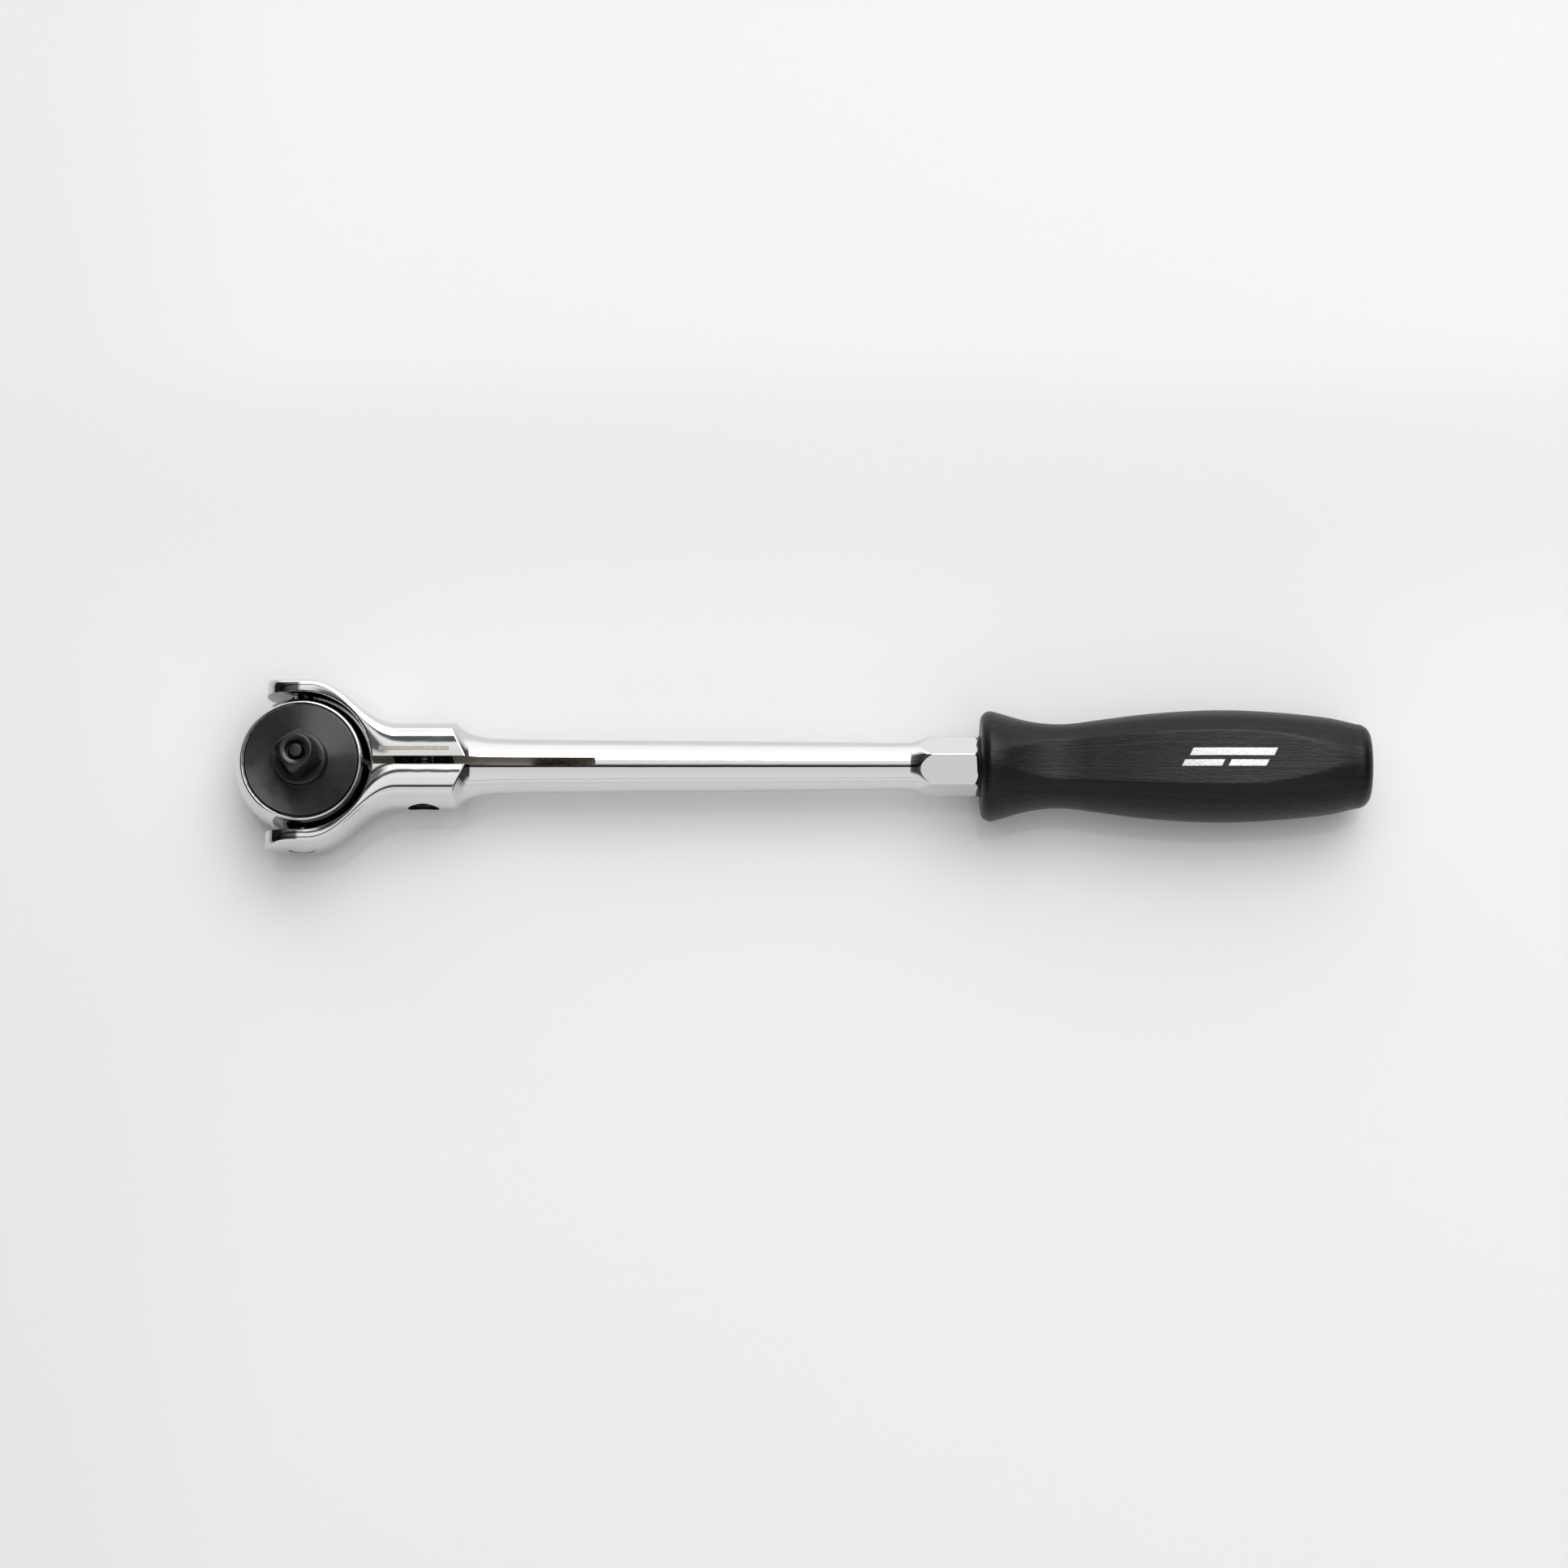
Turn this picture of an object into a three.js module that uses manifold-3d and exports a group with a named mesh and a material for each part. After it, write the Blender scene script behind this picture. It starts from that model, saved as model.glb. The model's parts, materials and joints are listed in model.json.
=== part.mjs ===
// Swivel-head ratchet wrench with a 6.3 mm (quarter inch) drive square. Millimetres, +Z up.
//
// The tool lies along X with its handle towards +X and its drive square pointing up. Everything is
// laid out from the swivel centre, where the drive axis (Z), the pivot axis (Y) and the tool axis (X)
// cross. The pieces that turn with the drive square are laid out in a frame turned about Z, in which
// the pawl lies on +X and the detent ball on +Y.
import * as THREE from 'three';
import { mergeVertices } from 'three/addons/utils/BufferGeometryUtils.js';
import Module from 'manifold-3d';

const wasm = await Module();
wasm.setup();

const degrees = Math.PI / 180;

// ---- Driving dimensions ----
const swivelX = -93.3; // swivel centre, measured from the middle of the tool's length
const axisHeight = 10.3; // tool axis above the surface that the tool lies on
const driveTurn = 36; // turn of the drive square about Z, degrees

const fork = {
  tipLength: 6.9, boreRadius: 13.0, halfWidth: 16.15, neckHalfWidth: 8.1, halfHeight: 6.5, edgeRadius: 1.8,
  flareStart: 2.1, flareEnd: 17.5, flareOuter: [6, 16], flareInner: [11.6, 8.3], shoulderX: 28.6,
};
const slot = { halfWidth: 0.775, start: 10, sawX: 29, sawZ: 24, sawRadius: 32 };
const pocket = { start: 17.1, end: 28.1, depth: 3.0, halfHeight: 5.8 };
const shaft = { frontX: 37.3, frontRadius: 5.15, rearX: 113, rearRadius: 4.45 };
const bolster = {
  acrossCorners: 11.2, start: 112.6, fullX: 117.7, chamferX: 125.2, end: 126.1, endRadius: 4.9, turn: -18,
};
const tang = { radius: 3.0, end: 176, clearance: 0.3 };
const grip = {
  frontX: 126.35, endX: 199.1, flangeRadius: 10.3, flangeEdge: 1.8, endFaceRadius: 5.35, endCorner: 2.5,
  flatDepth: 0.134, facetDepth: 0.0123, facetAngle: 39, gateNub: 0.25, gateNubRadius: 0.7,
};
const screw = {
  x: 22.5, headRadius: 2.75, headHoleRadius: 2.95, faceY: -7.2, underHeadY: -4.25, seatY: -3.5,
  shankRadius: 1.7, endY: 6.0, socketRadius: 1.45, socketEndY: -5.4,
};
const pivot = { radius: 2.4, stubRadius: 1.8, stubY: 10.4, shoulderY: 13.15, faceY: 16.2, clearance: 0.05 };

const head = {
  radius: 12.75, halfHeight: 6.1, recessRadius: 10.9, recessFloor: 3.7, grooveRadius: 11.1,
  grooveLow: 5.0, grooveHigh: 5.7, floorZ: -3.4, floorHoleRadius: 4.7,
};
const gear = { teeth: 72, tipRadius: 8.3, rootRadius: 8.9 };
const plate = { flangeRadius: 10.78, faceRadius: 10.5, low: 4.15, step: 5.0, faceZ: 6.05 };
const square = {
  width: 6.3, cornerRadius: 4.14, tipRadius: 2.95, hubRadius: 5.0, shoulderRadius: 4.75, shoulderZ: 8.85,
  tipZ: 16.05, chamfer: 0.75,
};
const core = { radius: 7.9, boreRadius: 4.6, low: -3.1, boreTop: 2.55, pocketHalfAngle: 56 };
const ringSection = { inner: 10.58, outer: 11.04, low: 5.12, high: 5.58 };

const selector = {
  dialRadius: 7.4, dialLow: -10.3, dialHigh: -6.4, hubRadius: 4.4, hubTop: 2.3, halfTurn: 28, notches: 16,
};
const release = {
  buttonRadius: 3.0, faceZ: -10.1, buttonTop: -8.7, rodRadius: 1.3, neckRadius: 0.8, rodTop: 15.7,
};
const boreRadius = { rod: 1.6, tip: 1.9, button: 3.15, plunger: 0.8, ball: 1.1 };
const ball = { radius: 1.05, distance: 2.5, z: 12.35 };
const plunger = { z: -1.2, radius: 0.75, tip: 5.2, start: 3.2, springStart: 1.95 };
const pawl = {
  pinRadius: 0.7, pinDistance: 6.6, low: -2.9, high: 2.35, endAngle: 52, toothAngle: 28,
  endRadius: 8.42, middleRadius: 7.9, backRadius: 5.0, rock: 10,
};

// Number of sides given to round bodies, by size.
const sides = { large: 60, medium: 36, small: 24, tiny: 12 };

// ---- Materials ----
const chrome = { color: 0xd6d8d9, roughness: 0.08, metalness: 1 };
const blackOxide = { color: 0x35353a, roughness: 0.35, metalness: 0.9 };
const blackPlastic = { color: 0x1e1f20, roughness: 0.45, metalness: 0 };
const springSteel = { color: 0x8f9194, roughness: 0.3, metalness: 1 };

// ---- Solids ----
function solidOf(geometry) {
  const bare = geometry.clone();
  bare.deleteAttribute('normal');
  bare.deleteAttribute('uv');
  const merged = mergeVertices(bare, 1e-4);
  const corners = Array.from(merged.index.array);
  const triangles = [];
  for (let i = 0; i < corners.length; i += 3) {
    const [a, b, c] = corners.slice(i, i + 3);
    if (a !== b && b !== c && c !== a) triangles.push(a, b, c);
  }
  return new wasm.Manifold(new wasm.Mesh({
    numProp: 3,
    vertProperties: new Float32Array(merged.attributes.position.array),
    triVerts: new Uint32Array(triangles),
  }));
}

function geometryOf(solid) {
  const mesh = solid.getMesh();
  const geometry = new THREE.BufferGeometry();
  geometry.setAttribute('position', new THREE.BufferAttribute(new Float32Array(mesh.vertProperties), 3));
  geometry.setIndex(new THREE.BufferAttribute(new Uint32Array(mesh.triVerts), 1));
  geometry.computeVertexNormals();
  return geometry;
}

// A body of revolution. The profile lists [radius, distance along the axis], outer side going up.
function turned(profile, axis = 'z', segments = sides.large) {
  const points = profile.map(([radius, along]) => new THREE.Vector2(radius, along));
  const geometry = new THREE.LatheGeometry(points, segments);
  if (axis === 'z') geometry.rotateX(Math.PI / 2);
  if (axis === 'x') geometry.rotateZ(-Math.PI / 2);
  return geometry;
}

function rod(radius, low, high, axis = 'z', segments = sides.large) {
  return solidOf(turned([[0, low], [radius, low], [radius, high], [0, high]], axis, segments));
}

function ringBody(inner, outer, low, high, segments = sides.medium) {
  const profile = [[inner, low], [outer, low], [outer, high], [inner, high], [inner, low]];
  return turned(profile, 'z', segments);
}

function block(low, high) {
  const size = high.map((value, i) => value - low[i]);
  const geometry = new THREE.BoxGeometry(...size);
  geometry.translate(...high.map((value, i) => (value + low[i]) / 2));
  return solidOf(geometry);
}

function prism(shape, low, high, curveSegments = 12) {
  const depth = high - low;
  const geometry = new THREE.ExtrudeGeometry(shape, { depth, bevelEnabled: false, curveSegments });
  geometry.translate(0, 0, low);
  return geometry;
}

function roundedPrism(shape, low, high, radius) {
  const geometry = new THREE.ExtrudeGeometry(shape, {
    depth: high - low - 2 * radius,
    bevelThickness: radius,
    bevelSize: radius,
    bevelOffset: -radius,
    bevelSegments: 3,
  });
  geometry.translate(0, 0, low + radius);
  return geometry;
}

function polar(radius, angle) {
  return [radius * Math.cos(angle * degrees), radius * Math.sin(angle * degrees)];
}

function shapeOf(points) {
  return new THREE.Shape(points.map(([x, y]) => new THREE.Vector2(x, y)));
}

// A flat ring sector between two angles, in the XY plane.
function sectorShape(inner, outer, from, to) {
  const shape = new THREE.Shape();
  shape.absarc(0, 0, outer, from * degrees, to * degrees, false);
  shape.absarc(0, 0, inner, to * degrees, from * degrees, true);
  shape.closePath();
  return shape;
}

// The outline of the space inside the fine V teeth of the internal gear, with a gap at +X.
function gearShape(tipRadius, rootRadius) {
  const pitch = 360 / gear.teeth;
  const points = [];
  for (let tooth = 0; tooth < gear.teeth; tooth += 1) {
    points.push(polar(rootRadius, tooth * pitch));
    points.push(polar(tipRadius, (tooth + 0.5) * pitch));
  }
  return shapeOf(points);
}

// A coil spring along Z, as one round wire.
function coil(radius, wireRadius, low, high, turns, stepsPerTurn, sides) {
  const points = [];
  const count = turns * stepsPerTurn;
  for (let i = 0; i <= count; i += 1) {
    const [x, y] = polar(radius, (360 * i) / stepsPerTurn);
    points.push(new THREE.Vector3(x, y, low + ((high - low) * i) / count));
  }
  const wire = new THREE.Shape();
  wire.absarc(0, 0, wireRadius, 0, 2 * Math.PI, false);
  return new THREE.ExtrudeGeometry(wire, {
    steps: count,
    bevelEnabled: false,
    curveSegments: sides / 2,
    extrudePath: new THREE.CatmullRomCurve3(points),
  });
}

// ---- Fork, neck, shaft and bolster: one forging ----
function forkOutline() {
  const { tipLength, halfWidth, neckHalfWidth, flareStart, flareEnd, flareOuter, flareInner } = fork;
  const flare = new THREE.CubicBezierCurve(
    new THREE.Vector2(flareStart, halfWidth),
    new THREE.Vector2(...flareOuter),
    new THREE.Vector2(...flareInner),
    new THREE.Vector2(flareEnd, neckHalfWidth),
  );
  const bend = flare.getPoints(8).map((point) => [point.x, point.y]);
  const left = [[-tipLength, halfWidth], ...bend, [bolster.start + 2, neckHalfWidth]];
  const right = left.map(([x, y]) => [x, -y]).reverse();
  return shapeOf([...left, ...right]);
}

function forkSideOutline() {
  const { tipLength, halfHeight } = fork;
  const rear = bolster.start + 2;
  const shape = new THREE.Shape();
  shape.moveTo(rear, -halfHeight);
  shape.lineTo(rear, halfHeight);
  shape.lineTo(0, halfHeight);
  shape.absellipse(0, 0, tipLength, halfHeight, Math.PI / 2, 1.5 * Math.PI, false, 0);
  shape.closePath();
  return shape;
}

// Radius of the round envelope: wide over the fork, a hollow cone behind the neck, then the shaft.
const envelope = [
  [26, -14], [26, 24], [10.4, 26.7], [fork.neckHalfWidth, fork.shoulderX], [6.7, 30.2], [6.0, 32],
  [5.4, 33.9], [shaft.frontRadius, shaft.frontX], [4.96, 49.4], [4.73, 79.7],
  [shaft.rearRadius, shaft.rearX], [shaft.rearRadius, bolster.start + 1],
];

function forkShank() {
  const { halfHeight, boreRadius: bore, edgeRadius } = fork;
  const side = prism(forkSideOutline(), -20, 20, 8);
  side.rotateX(Math.PI / 2);
  const rounded = turned([[0, -14], ...envelope, [0, bolster.start + 1]], 'x', sides.medium);
  const slab = roundedPrism(forkOutline(), -halfHeight, halfHeight, edgeRadius);
  let body = solidOf(slab).intersect(solidOf(side)).intersect(solidOf(rounded));

  const corner = bolster.acrossCorners / 2;
  const hexagon = rod(corner, bolster.start, bolster.end, 'x', 6).rotate([bolster.turn, 0, 0]);
  const ends = turned([
    [0, bolster.start], [shaft.rearRadius - 0.1, bolster.start], [corner + 0.1, bolster.fullX],
    [corner + 0.1, bolster.chamferX], [bolster.endRadius, bolster.end], [0, bolster.end],
  ], 'x', sides.small);
  body = body.add(hexagon.intersect(solidOf(ends)));
  body = body.add(rod(tang.radius, bolster.end - 1, tang.end, 'x', sides.tiny));

  body = body.subtract(rod(bore, -10, 10));
  body = body.subtract(block([-14, -bore, -10], [0, bore, 10]));
  body = body.subtract(block([slot.start, -slot.halfWidth, -10], [slot.sawX, slot.halfWidth, 10]));
  const saw = rod(slot.sawRadius, -slot.halfWidth, slot.halfWidth, 'y');
  body = body.subtract(saw.translate([slot.sawX, 0, slot.sawZ]));
  body = body.subtract(block(
    [pocket.start, 0, -pocket.halfHeight],
    [pocket.end, pocket.depth, pocket.halfHeight],
  ));

  const headHole = rod(screw.headHoleRadius, -10, screw.seatY, 'y', sides.small);
  const shankHole = rod(screw.shankRadius + 0.1, screw.seatY - 1, screw.endY + 0.2, 'y', sides.small);
  body = body.subtract(headHole.add(shankHole).translate([screw.x, 0, 0]));
  return body.subtract(rod(pivot.radius + pivot.clearance, -20, 20, 'y', sides.small));
}

// ---- Moulded grip: a turned profile with flats pressed into it ----
const gripProfile = [
  [128.2, 10.3], [132.3, 9.15], [136.8, 8.15], [141.4, 7.85], [149.7, 8.8], [160.2, 10.0],
  [171.5, 10.48], [181.6, 10.05], [191.7, 8.95], [196.6, 7.85],
];

// How far the flat faces are pressed in: 0 leaves the section round, 1 presses them to their full depth.
function flatness(x) {
  const rise = THREE.MathUtils.smoothstep(x, 129, 142);
  const fall = THREE.MathUtils.smoothstep(x, 177, 197);
  return rise * (1 - fall);
}

function gripOutline() {
  const { frontX, endX, flangeRadius, flangeEdge, endFaceRadius, endCorner } = grip;
  const curve = new THREE.SplineCurve(gripProfile.map(([x, radius]) => new THREE.Vector2(x, radius)));
  const edge = new THREE.EllipseCurve(
    frontX + flangeEdge, flangeRadius - flangeEdge, flangeEdge, flangeEdge, Math.PI, Math.PI / 2, true,
  );
  const end = new THREE.EllipseCurve(
    endX - endCorner, endFaceRadius, endCorner, endCorner, Math.PI / 2, 0, true,
  );
  const points = [...edge.getPoints(3), ...curve.getPoints(12).slice(1), ...end.getPoints(4).slice(1)];
  return points.map((point) => [point.y, point.x]);
}

function gripGeometry() {
  const geometry = turned([[0, grip.frontX], ...gripOutline(), [0, grip.endX]], 'x', sides.medium);
  const position = geometry.attributes.position;
  for (let i = 0; i < position.count; i += 1) {
    const y = position.getY(i);
    const z = position.getZ(i);
    const angle = Math.atan2(Math.abs(y), Math.abs(z));
    const pressed = flatness(position.getX(i));
    const flat = (1 - grip.flatDepth * pressed) / Math.cos(angle);
    const facet = (1 - grip.facetDepth * pressed) / Math.cos(angle - grip.facetAngle * degrees);
    const factor = Math.min(1, flat, facet);
    position.setXYZ(i, position.getX(i), y * factor, z * factor);
  }
  return geometry;
}

function handleGrip() {
  const nub = rod(grip.gateNubRadius, grip.endX - 1, grip.endX + grip.gateNub, 'x', sides.tiny);
  const socketRadius = tang.radius + tang.clearance;
  const socket = rod(socketRadius, grip.frontX - 1, tang.end + tang.clearance, 'x', sides.tiny);
  return solidOf(gripGeometry()).add(nub).subtract(socket);
}

// ---- Pivot pins and tension screw ----
function pivotPin() {
  const { radius, stubRadius, stubY, shoulderY, faceY } = pivot;
  return turned([
    [0, stubY], [stubRadius - 0.2, stubY], [stubRadius, stubY + 0.2], [stubRadius, shoulderY],
    [radius, shoulderY], [radius, faceY - 0.2], [radius - 0.2, faceY], [0, faceY],
  ], 'y', sides.small);
}

function tensionScrew() {
  const { headRadius, shankRadius, faceY, underHeadY, endY, socketRadius, socketEndY } = screw;
  const body = turned([
    [0, faceY], [headRadius - 0.3, faceY], [headRadius, faceY + 0.3], [headRadius, underHeadY],
    [shankRadius, underHeadY], [shankRadius, endY - 0.3], [shankRadius - 0.3, endY], [0, endY],
  ], 'y', sides.small);
  return solidOf(body).subtract(rod(socketRadius, faceY - 1, socketEndY, 'y', 6));
}

// ---- Head ----
function headHousing() {
  const edge = Math.asin(head.halfHeight / head.radius);
  const zone = new THREE.EllipseCurve(0, 0, head.radius, head.radius, -edge, edge, false);
  const outline = zone.getPoints(8).map((point) => [point.x, point.y]);
  const profile = [[0, -head.halfHeight], ...outline, [0, head.halfHeight]];
  const teeth = prism(gearShape(gear.tipRadius, gear.rootRadius), head.floorZ, 4);
  teeth.rotateZ(driveTurn * degrees);
  const pinHoleRadius = pivot.stubRadius + pivot.clearance;
  const pinHoleEnd = pivot.stubY - 0.2;
  return solidOf(turned(profile))
    .subtract(rod(head.recessRadius, head.recessFloor, 8))
    .subtract(rod(head.grooveRadius, head.grooveLow, head.grooveHigh))
    .subtract(solidOf(teeth))
    .subtract(rod(head.floorHoleRadius, -8, head.floorZ + 1, 'z', sides.medium))
    .subtract(rod(pinHoleRadius, pinHoleEnd, 14, 'y', sides.small))
    .subtract(rod(pinHoleRadius, -14, -pinHoleEnd, 'y', sides.small));
}

// An open spring ring. Its gap lies on the handle side.
function retainingRing() {
  const { inner, outer, low, high } = ringSection;
  return prism(sectorShape(inner, outer, -30, 248), low, high, sides.small);
}

// A thin ring bent into waves, which keeps a light drag on the drive plate.
function waveWasher() {
  const geometry = ringBody(9.2, 10.6, 3.84, 3.98);
  const position = geometry.attributes.position;
  for (let i = 0; i < position.count; i += 1) {
    const wave = 0.08 * Math.cos(4 * Math.atan2(position.getY(i), position.getX(i)));
    position.setZ(i, position.getZ(i) + wave);
  }
  return geometry;
}

// ---- Drive square with its plate and pawl carrier, in the drive frame ----
function driveBody() {
  const plateAndCore = turned([
    [0, core.low], [core.radius, core.low], [core.radius, plate.low], [plate.flangeRadius, plate.low],
    [plate.flangeRadius, plate.step], [plate.faceRadius, plate.step], [plate.faceRadius, plate.faceZ - 0.15],
    [plate.faceRadius - 0.15, plate.faceZ], [square.hubRadius, plate.faceZ],
    [square.hubRadius, square.shoulderZ - 0.25], [square.shoulderRadius, square.shoulderZ],
    [0, square.shoulderZ],
  ]);
  const half = square.width / 2;
  const low = square.shoulderZ - 1;
  const tipCone = turned([
    [0, low], [square.cornerRadius, low], [square.cornerRadius, square.tipZ - square.chamfer],
    [square.tipRadius, square.tipZ], [0, square.tipZ],
  ], 'z', sides.medium);
  const drive = block([-half, -half, low], [half, half, square.tipZ]).intersect(solidOf(tipCone));
  const pawlPocket = prism(
    sectorShape(4.2, core.radius + 1, -core.pocketHalfAngle, core.pocketHalfAngle),
    core.low - 1, core.boreTop, 8,
  );
  return solidOf(plateAndCore)
    .add(drive)
    .subtract(rod(core.boreRadius, core.low - 1, core.boreTop, 'z', sides.medium))
    .subtract(rod(4.92, 0.9, 1.5, 'z', sides.medium))
    .subtract(rod(boreRadius.rod, 0, square.tipZ + 1, 'z', sides.small))
    .subtract(rod(boreRadius.tip, square.tipZ - 2.2, square.tipZ + 1, 'z', sides.small))
    .subtract(rod(boreRadius.ball, 0, half + 1, 'y', sides.tiny).translate([0, 0, ball.z]))
    .subtract(solidOf(pawlPocket))
    .subtract(rod(pawl.pinRadius + 0.03, 0, 3.9, 'z', sides.tiny).translate([pawl.pinDistance, 0, 0]));
}

function pawlPin() {
  return rod(pawl.pinRadius, -2.95, 3.8, 'z', sides.tiny).translate([pawl.pinDistance, 0, 0]);
}

// ---- Selector dial and its sprung plunger, laid out in the drive frame ----
function selectorDial() {
  const { dialRadius, dialLow, dialHigh, hubRadius, hubTop, halfTurn, notches } = selector;
  let body = solidOf(turned([
    [0, dialLow], [dialRadius - 0.5, dialLow], [dialRadius, dialLow + 0.5], [dialRadius, dialHigh - 0.4],
    [dialRadius - 0.4, dialHigh], [hubRadius, dialHigh], [hubRadius, hubTop], [0, hubTop],
  ]));
  for (let i = 0; i < notches; i += 1) {
    const [x, y] = polar(dialRadius + 0.35, (360 * (i + 0.5)) / notches);
    body = body.subtract(rod(0.75, dialLow - 1, dialHigh - 0.8, 'z', 6).translate([x, y, 0]));
  }
  const bore = rod(boreRadius.plunger, plunger.springStart - 0.1, hubRadius + 1, 'x', sides.tiny);
  return body
    .subtract(rod(boreRadius.button, dialLow - 1, -2.5, 'z', sides.small))
    .subtract(rod(release.rodRadius + 0.2, -4, hubTop + 1, 'z', sides.small))
    .subtract(solidOf(ringBody(4.0, 6, 0.9, 1.5)))
    .subtract(bore.translate([0, 0, plunger.z]).rotate([0, 0, -halfTurn]));
}

function selectorRing() {
  return prism(sectorShape(4.05, 4.85, 20, 340), 0.98, 1.42, 12);
}

function plungerSolid(growth, segments) {
  const radius = plunger.radius + growth;
  const tip = plunger.tip + growth;
  return solidOf(turned([
    [0, plunger.start], [radius, plunger.start], [radius, tip - 0.55], [radius * 0.7, tip - 0.15], [0, tip],
  ], 'x', segments)).translate([0, 0, plunger.z]);
}

function plungerSpring() {
  const geometry = coil(0.5, 0.12, plunger.springStart + 0.12, plunger.start - 0.17, 3, 8, 6);
  geometry.rotateY(Math.PI / 2);
  geometry.translate(0, 0, plunger.z);
  geometry.rotateZ(-selector.halfTurn * degrees);
  return geometry;
}

// ---- Rocking pawl, in the drive frame ----
// It is drawn half way over and then cut clear of the gear, the hub and the plunger at each step of
// its rocking, so both ends carry teeth that mesh when the selector is at that end of its turn.
function rocked(solid, angle) {
  return solid.translate([-pawl.pinDistance, 0, 0]).rotate([0, 0, angle]).translate([pawl.pinDistance, 0, 0]);
}

function pawlBody() {
  const { low, high, endAngle, toothAngle, endRadius, middleRadius, backRadius, rock } = pawl;
  let body = solidOf(prism(sectorShape(backRadius, middleRadius, -endAngle, endAngle), low, high, 12));
  for (const side of [-1, 1]) {
    const from = side > 0 ? toothAngle : -endAngle;
    const to = side > 0 ? endAngle : -toothAngle;
    body = body.add(solidOf(prism(sectorShape(backRadius, endRadius, from, to), low, high, 8)));
  }
  const mesh = solidOf(prism(gearShape(gear.tipRadius - 0.1, gear.rootRadius - 0.1), low - 1, high + 1));
  const hub = rod(4.97, low - 1, high + 1, 'z', sides.medium);
  const cutter = plungerSolid(0.08, 8);
  const steps = 12;
  for (let step = 0; step <= steps; step += 1) {
    const share = step / steps;
    const back = rock * (share - 0.5);
    const turn = selector.halfTurn * (2 * share - 1);
    body = body.intersect(rocked(mesh, back));
    body = body.subtract(rocked(hub, back));
    body = body.subtract(rocked(cutter.rotate([0, 0, turn]), back));
  }
  const pinHole = rod(pawl.pinRadius + 0.05, low - 1, high + 1, 'z', sides.tiny);
  body = body.subtract(pinHole.translate([pawl.pinDistance, 0, 0]));
  return rocked(body, rock / 2);
}

// ---- Quick release ----
function releaseButton() {
  const { buttonRadius, faceZ, buttonTop, rodRadius, neckRadius, rodTop } = release;
  return turned([
    [0, faceZ], [buttonRadius - 0.3, faceZ], [buttonRadius, faceZ + 0.3], [buttonRadius, buttonTop],
    [rodRadius, buttonTop], [rodRadius, 9.2], [neckRadius, 9.6], [neckRadius, 10.6], [rodRadius, 12.1],
    [rodRadius, rodTop - 0.2], [rodRadius - 0.2, rodTop], [0, rodTop],
  ], 'z', sides.small);
}

function detentBall() {
  const geometry = new THREE.SphereGeometry(ball.radius, 16, 10);
  geometry.translate(0, ball.distance, ball.z);
  return geometry;
}

// ---- The assembly ----
function piece(name, shape, finish) {
  const geometry = shape.isBufferGeometry ? shape : geometryOf(shape);
  const mesh = new THREE.Mesh(geometry, new THREE.MeshStandardMaterial(finish));
  mesh.name = name;
  return mesh;
}

const tool = new THREE.Group();
tool.position.set(swivelX, 0, axisHeight);

const leftPin = piece('pivot_pin_left', pivotPin(), chrome);
leftPin.rotation.z = Math.PI;
tool.add(
  piece('fork_shank', forkShank(), chrome),
  piece('handle_grip', handleGrip(), blackPlastic),
  leftPin,
  piece('pivot_pin_right', pivotPin(), chrome),
);

const crossScrew = piece('tension_screw', tensionScrew(), blackOxide);
const screwWasher = piece('tension_washer', ringBody(1.85, 2.8, -0.22, 0.22, sides.small), springSteel);
crossScrew.position.x = screw.x;
screwWasher.rotation.x = Math.PI / 2;
screwWasher.position.set(screw.x, screw.seatY - 0.38, 0);
tool.add(crossScrew, screwWasher);

tool.add(
  piece('head_housing', headHousing(), chrome),
  piece('retaining_ring', retainingRing(), springSteel),
  piece('wave_washer', waveWasher(), springSteel),
);

const driveFrame = new THREE.Group();
driveFrame.rotation.z = driveTurn * degrees;
driveFrame.add(
  piece('drive_square', driveBody(), blackOxide),
  piece('pawl_pin', pawlPin(), springSteel),
  piece('pawl', pawlBody(), blackOxide),
  piece('selector_dial', selectorDial(), blackOxide),
  piece('selector_ring', selectorRing(), springSteel),
  piece('selector_plunger', plungerSolid(0, sides.tiny).rotate([0, 0, -selector.halfTurn]), springSteel),
  piece('selector_spring', plungerSpring(), springSteel),
  piece('release_button', releaseButton(), blackOxide),
  piece('release_spring', coil(2.2, 0.35, -8.25, -2.95, 4, 10, 6), springSteel),
  piece('detent_ball', detentBall(), springSteel),
);
tool.add(driveFrame);

export default tool;
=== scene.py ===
"""A swivel-head ratchet wrench as it looks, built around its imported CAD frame.

Every shape is worked out in millimetres from the swivel centre, in the CAD's axes: +X runs along the
tool towards the grip, +Z along the drive square, +Y along the pivot pins.
"""
import json
import math

import bpy
import numpy as np
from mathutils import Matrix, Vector


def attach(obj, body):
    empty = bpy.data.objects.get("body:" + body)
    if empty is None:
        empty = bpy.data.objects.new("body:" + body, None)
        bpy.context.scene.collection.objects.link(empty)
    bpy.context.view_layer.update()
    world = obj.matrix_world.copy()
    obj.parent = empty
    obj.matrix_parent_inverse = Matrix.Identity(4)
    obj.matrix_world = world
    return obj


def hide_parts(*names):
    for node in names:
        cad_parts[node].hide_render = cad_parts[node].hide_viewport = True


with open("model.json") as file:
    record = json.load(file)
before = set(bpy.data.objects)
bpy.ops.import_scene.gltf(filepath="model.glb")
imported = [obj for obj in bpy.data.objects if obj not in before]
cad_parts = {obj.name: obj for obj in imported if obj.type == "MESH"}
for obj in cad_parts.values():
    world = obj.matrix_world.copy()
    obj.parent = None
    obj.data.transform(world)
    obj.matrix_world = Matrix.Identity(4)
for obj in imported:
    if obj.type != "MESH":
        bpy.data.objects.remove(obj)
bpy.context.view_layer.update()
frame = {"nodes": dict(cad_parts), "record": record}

MM = 0.001
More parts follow.
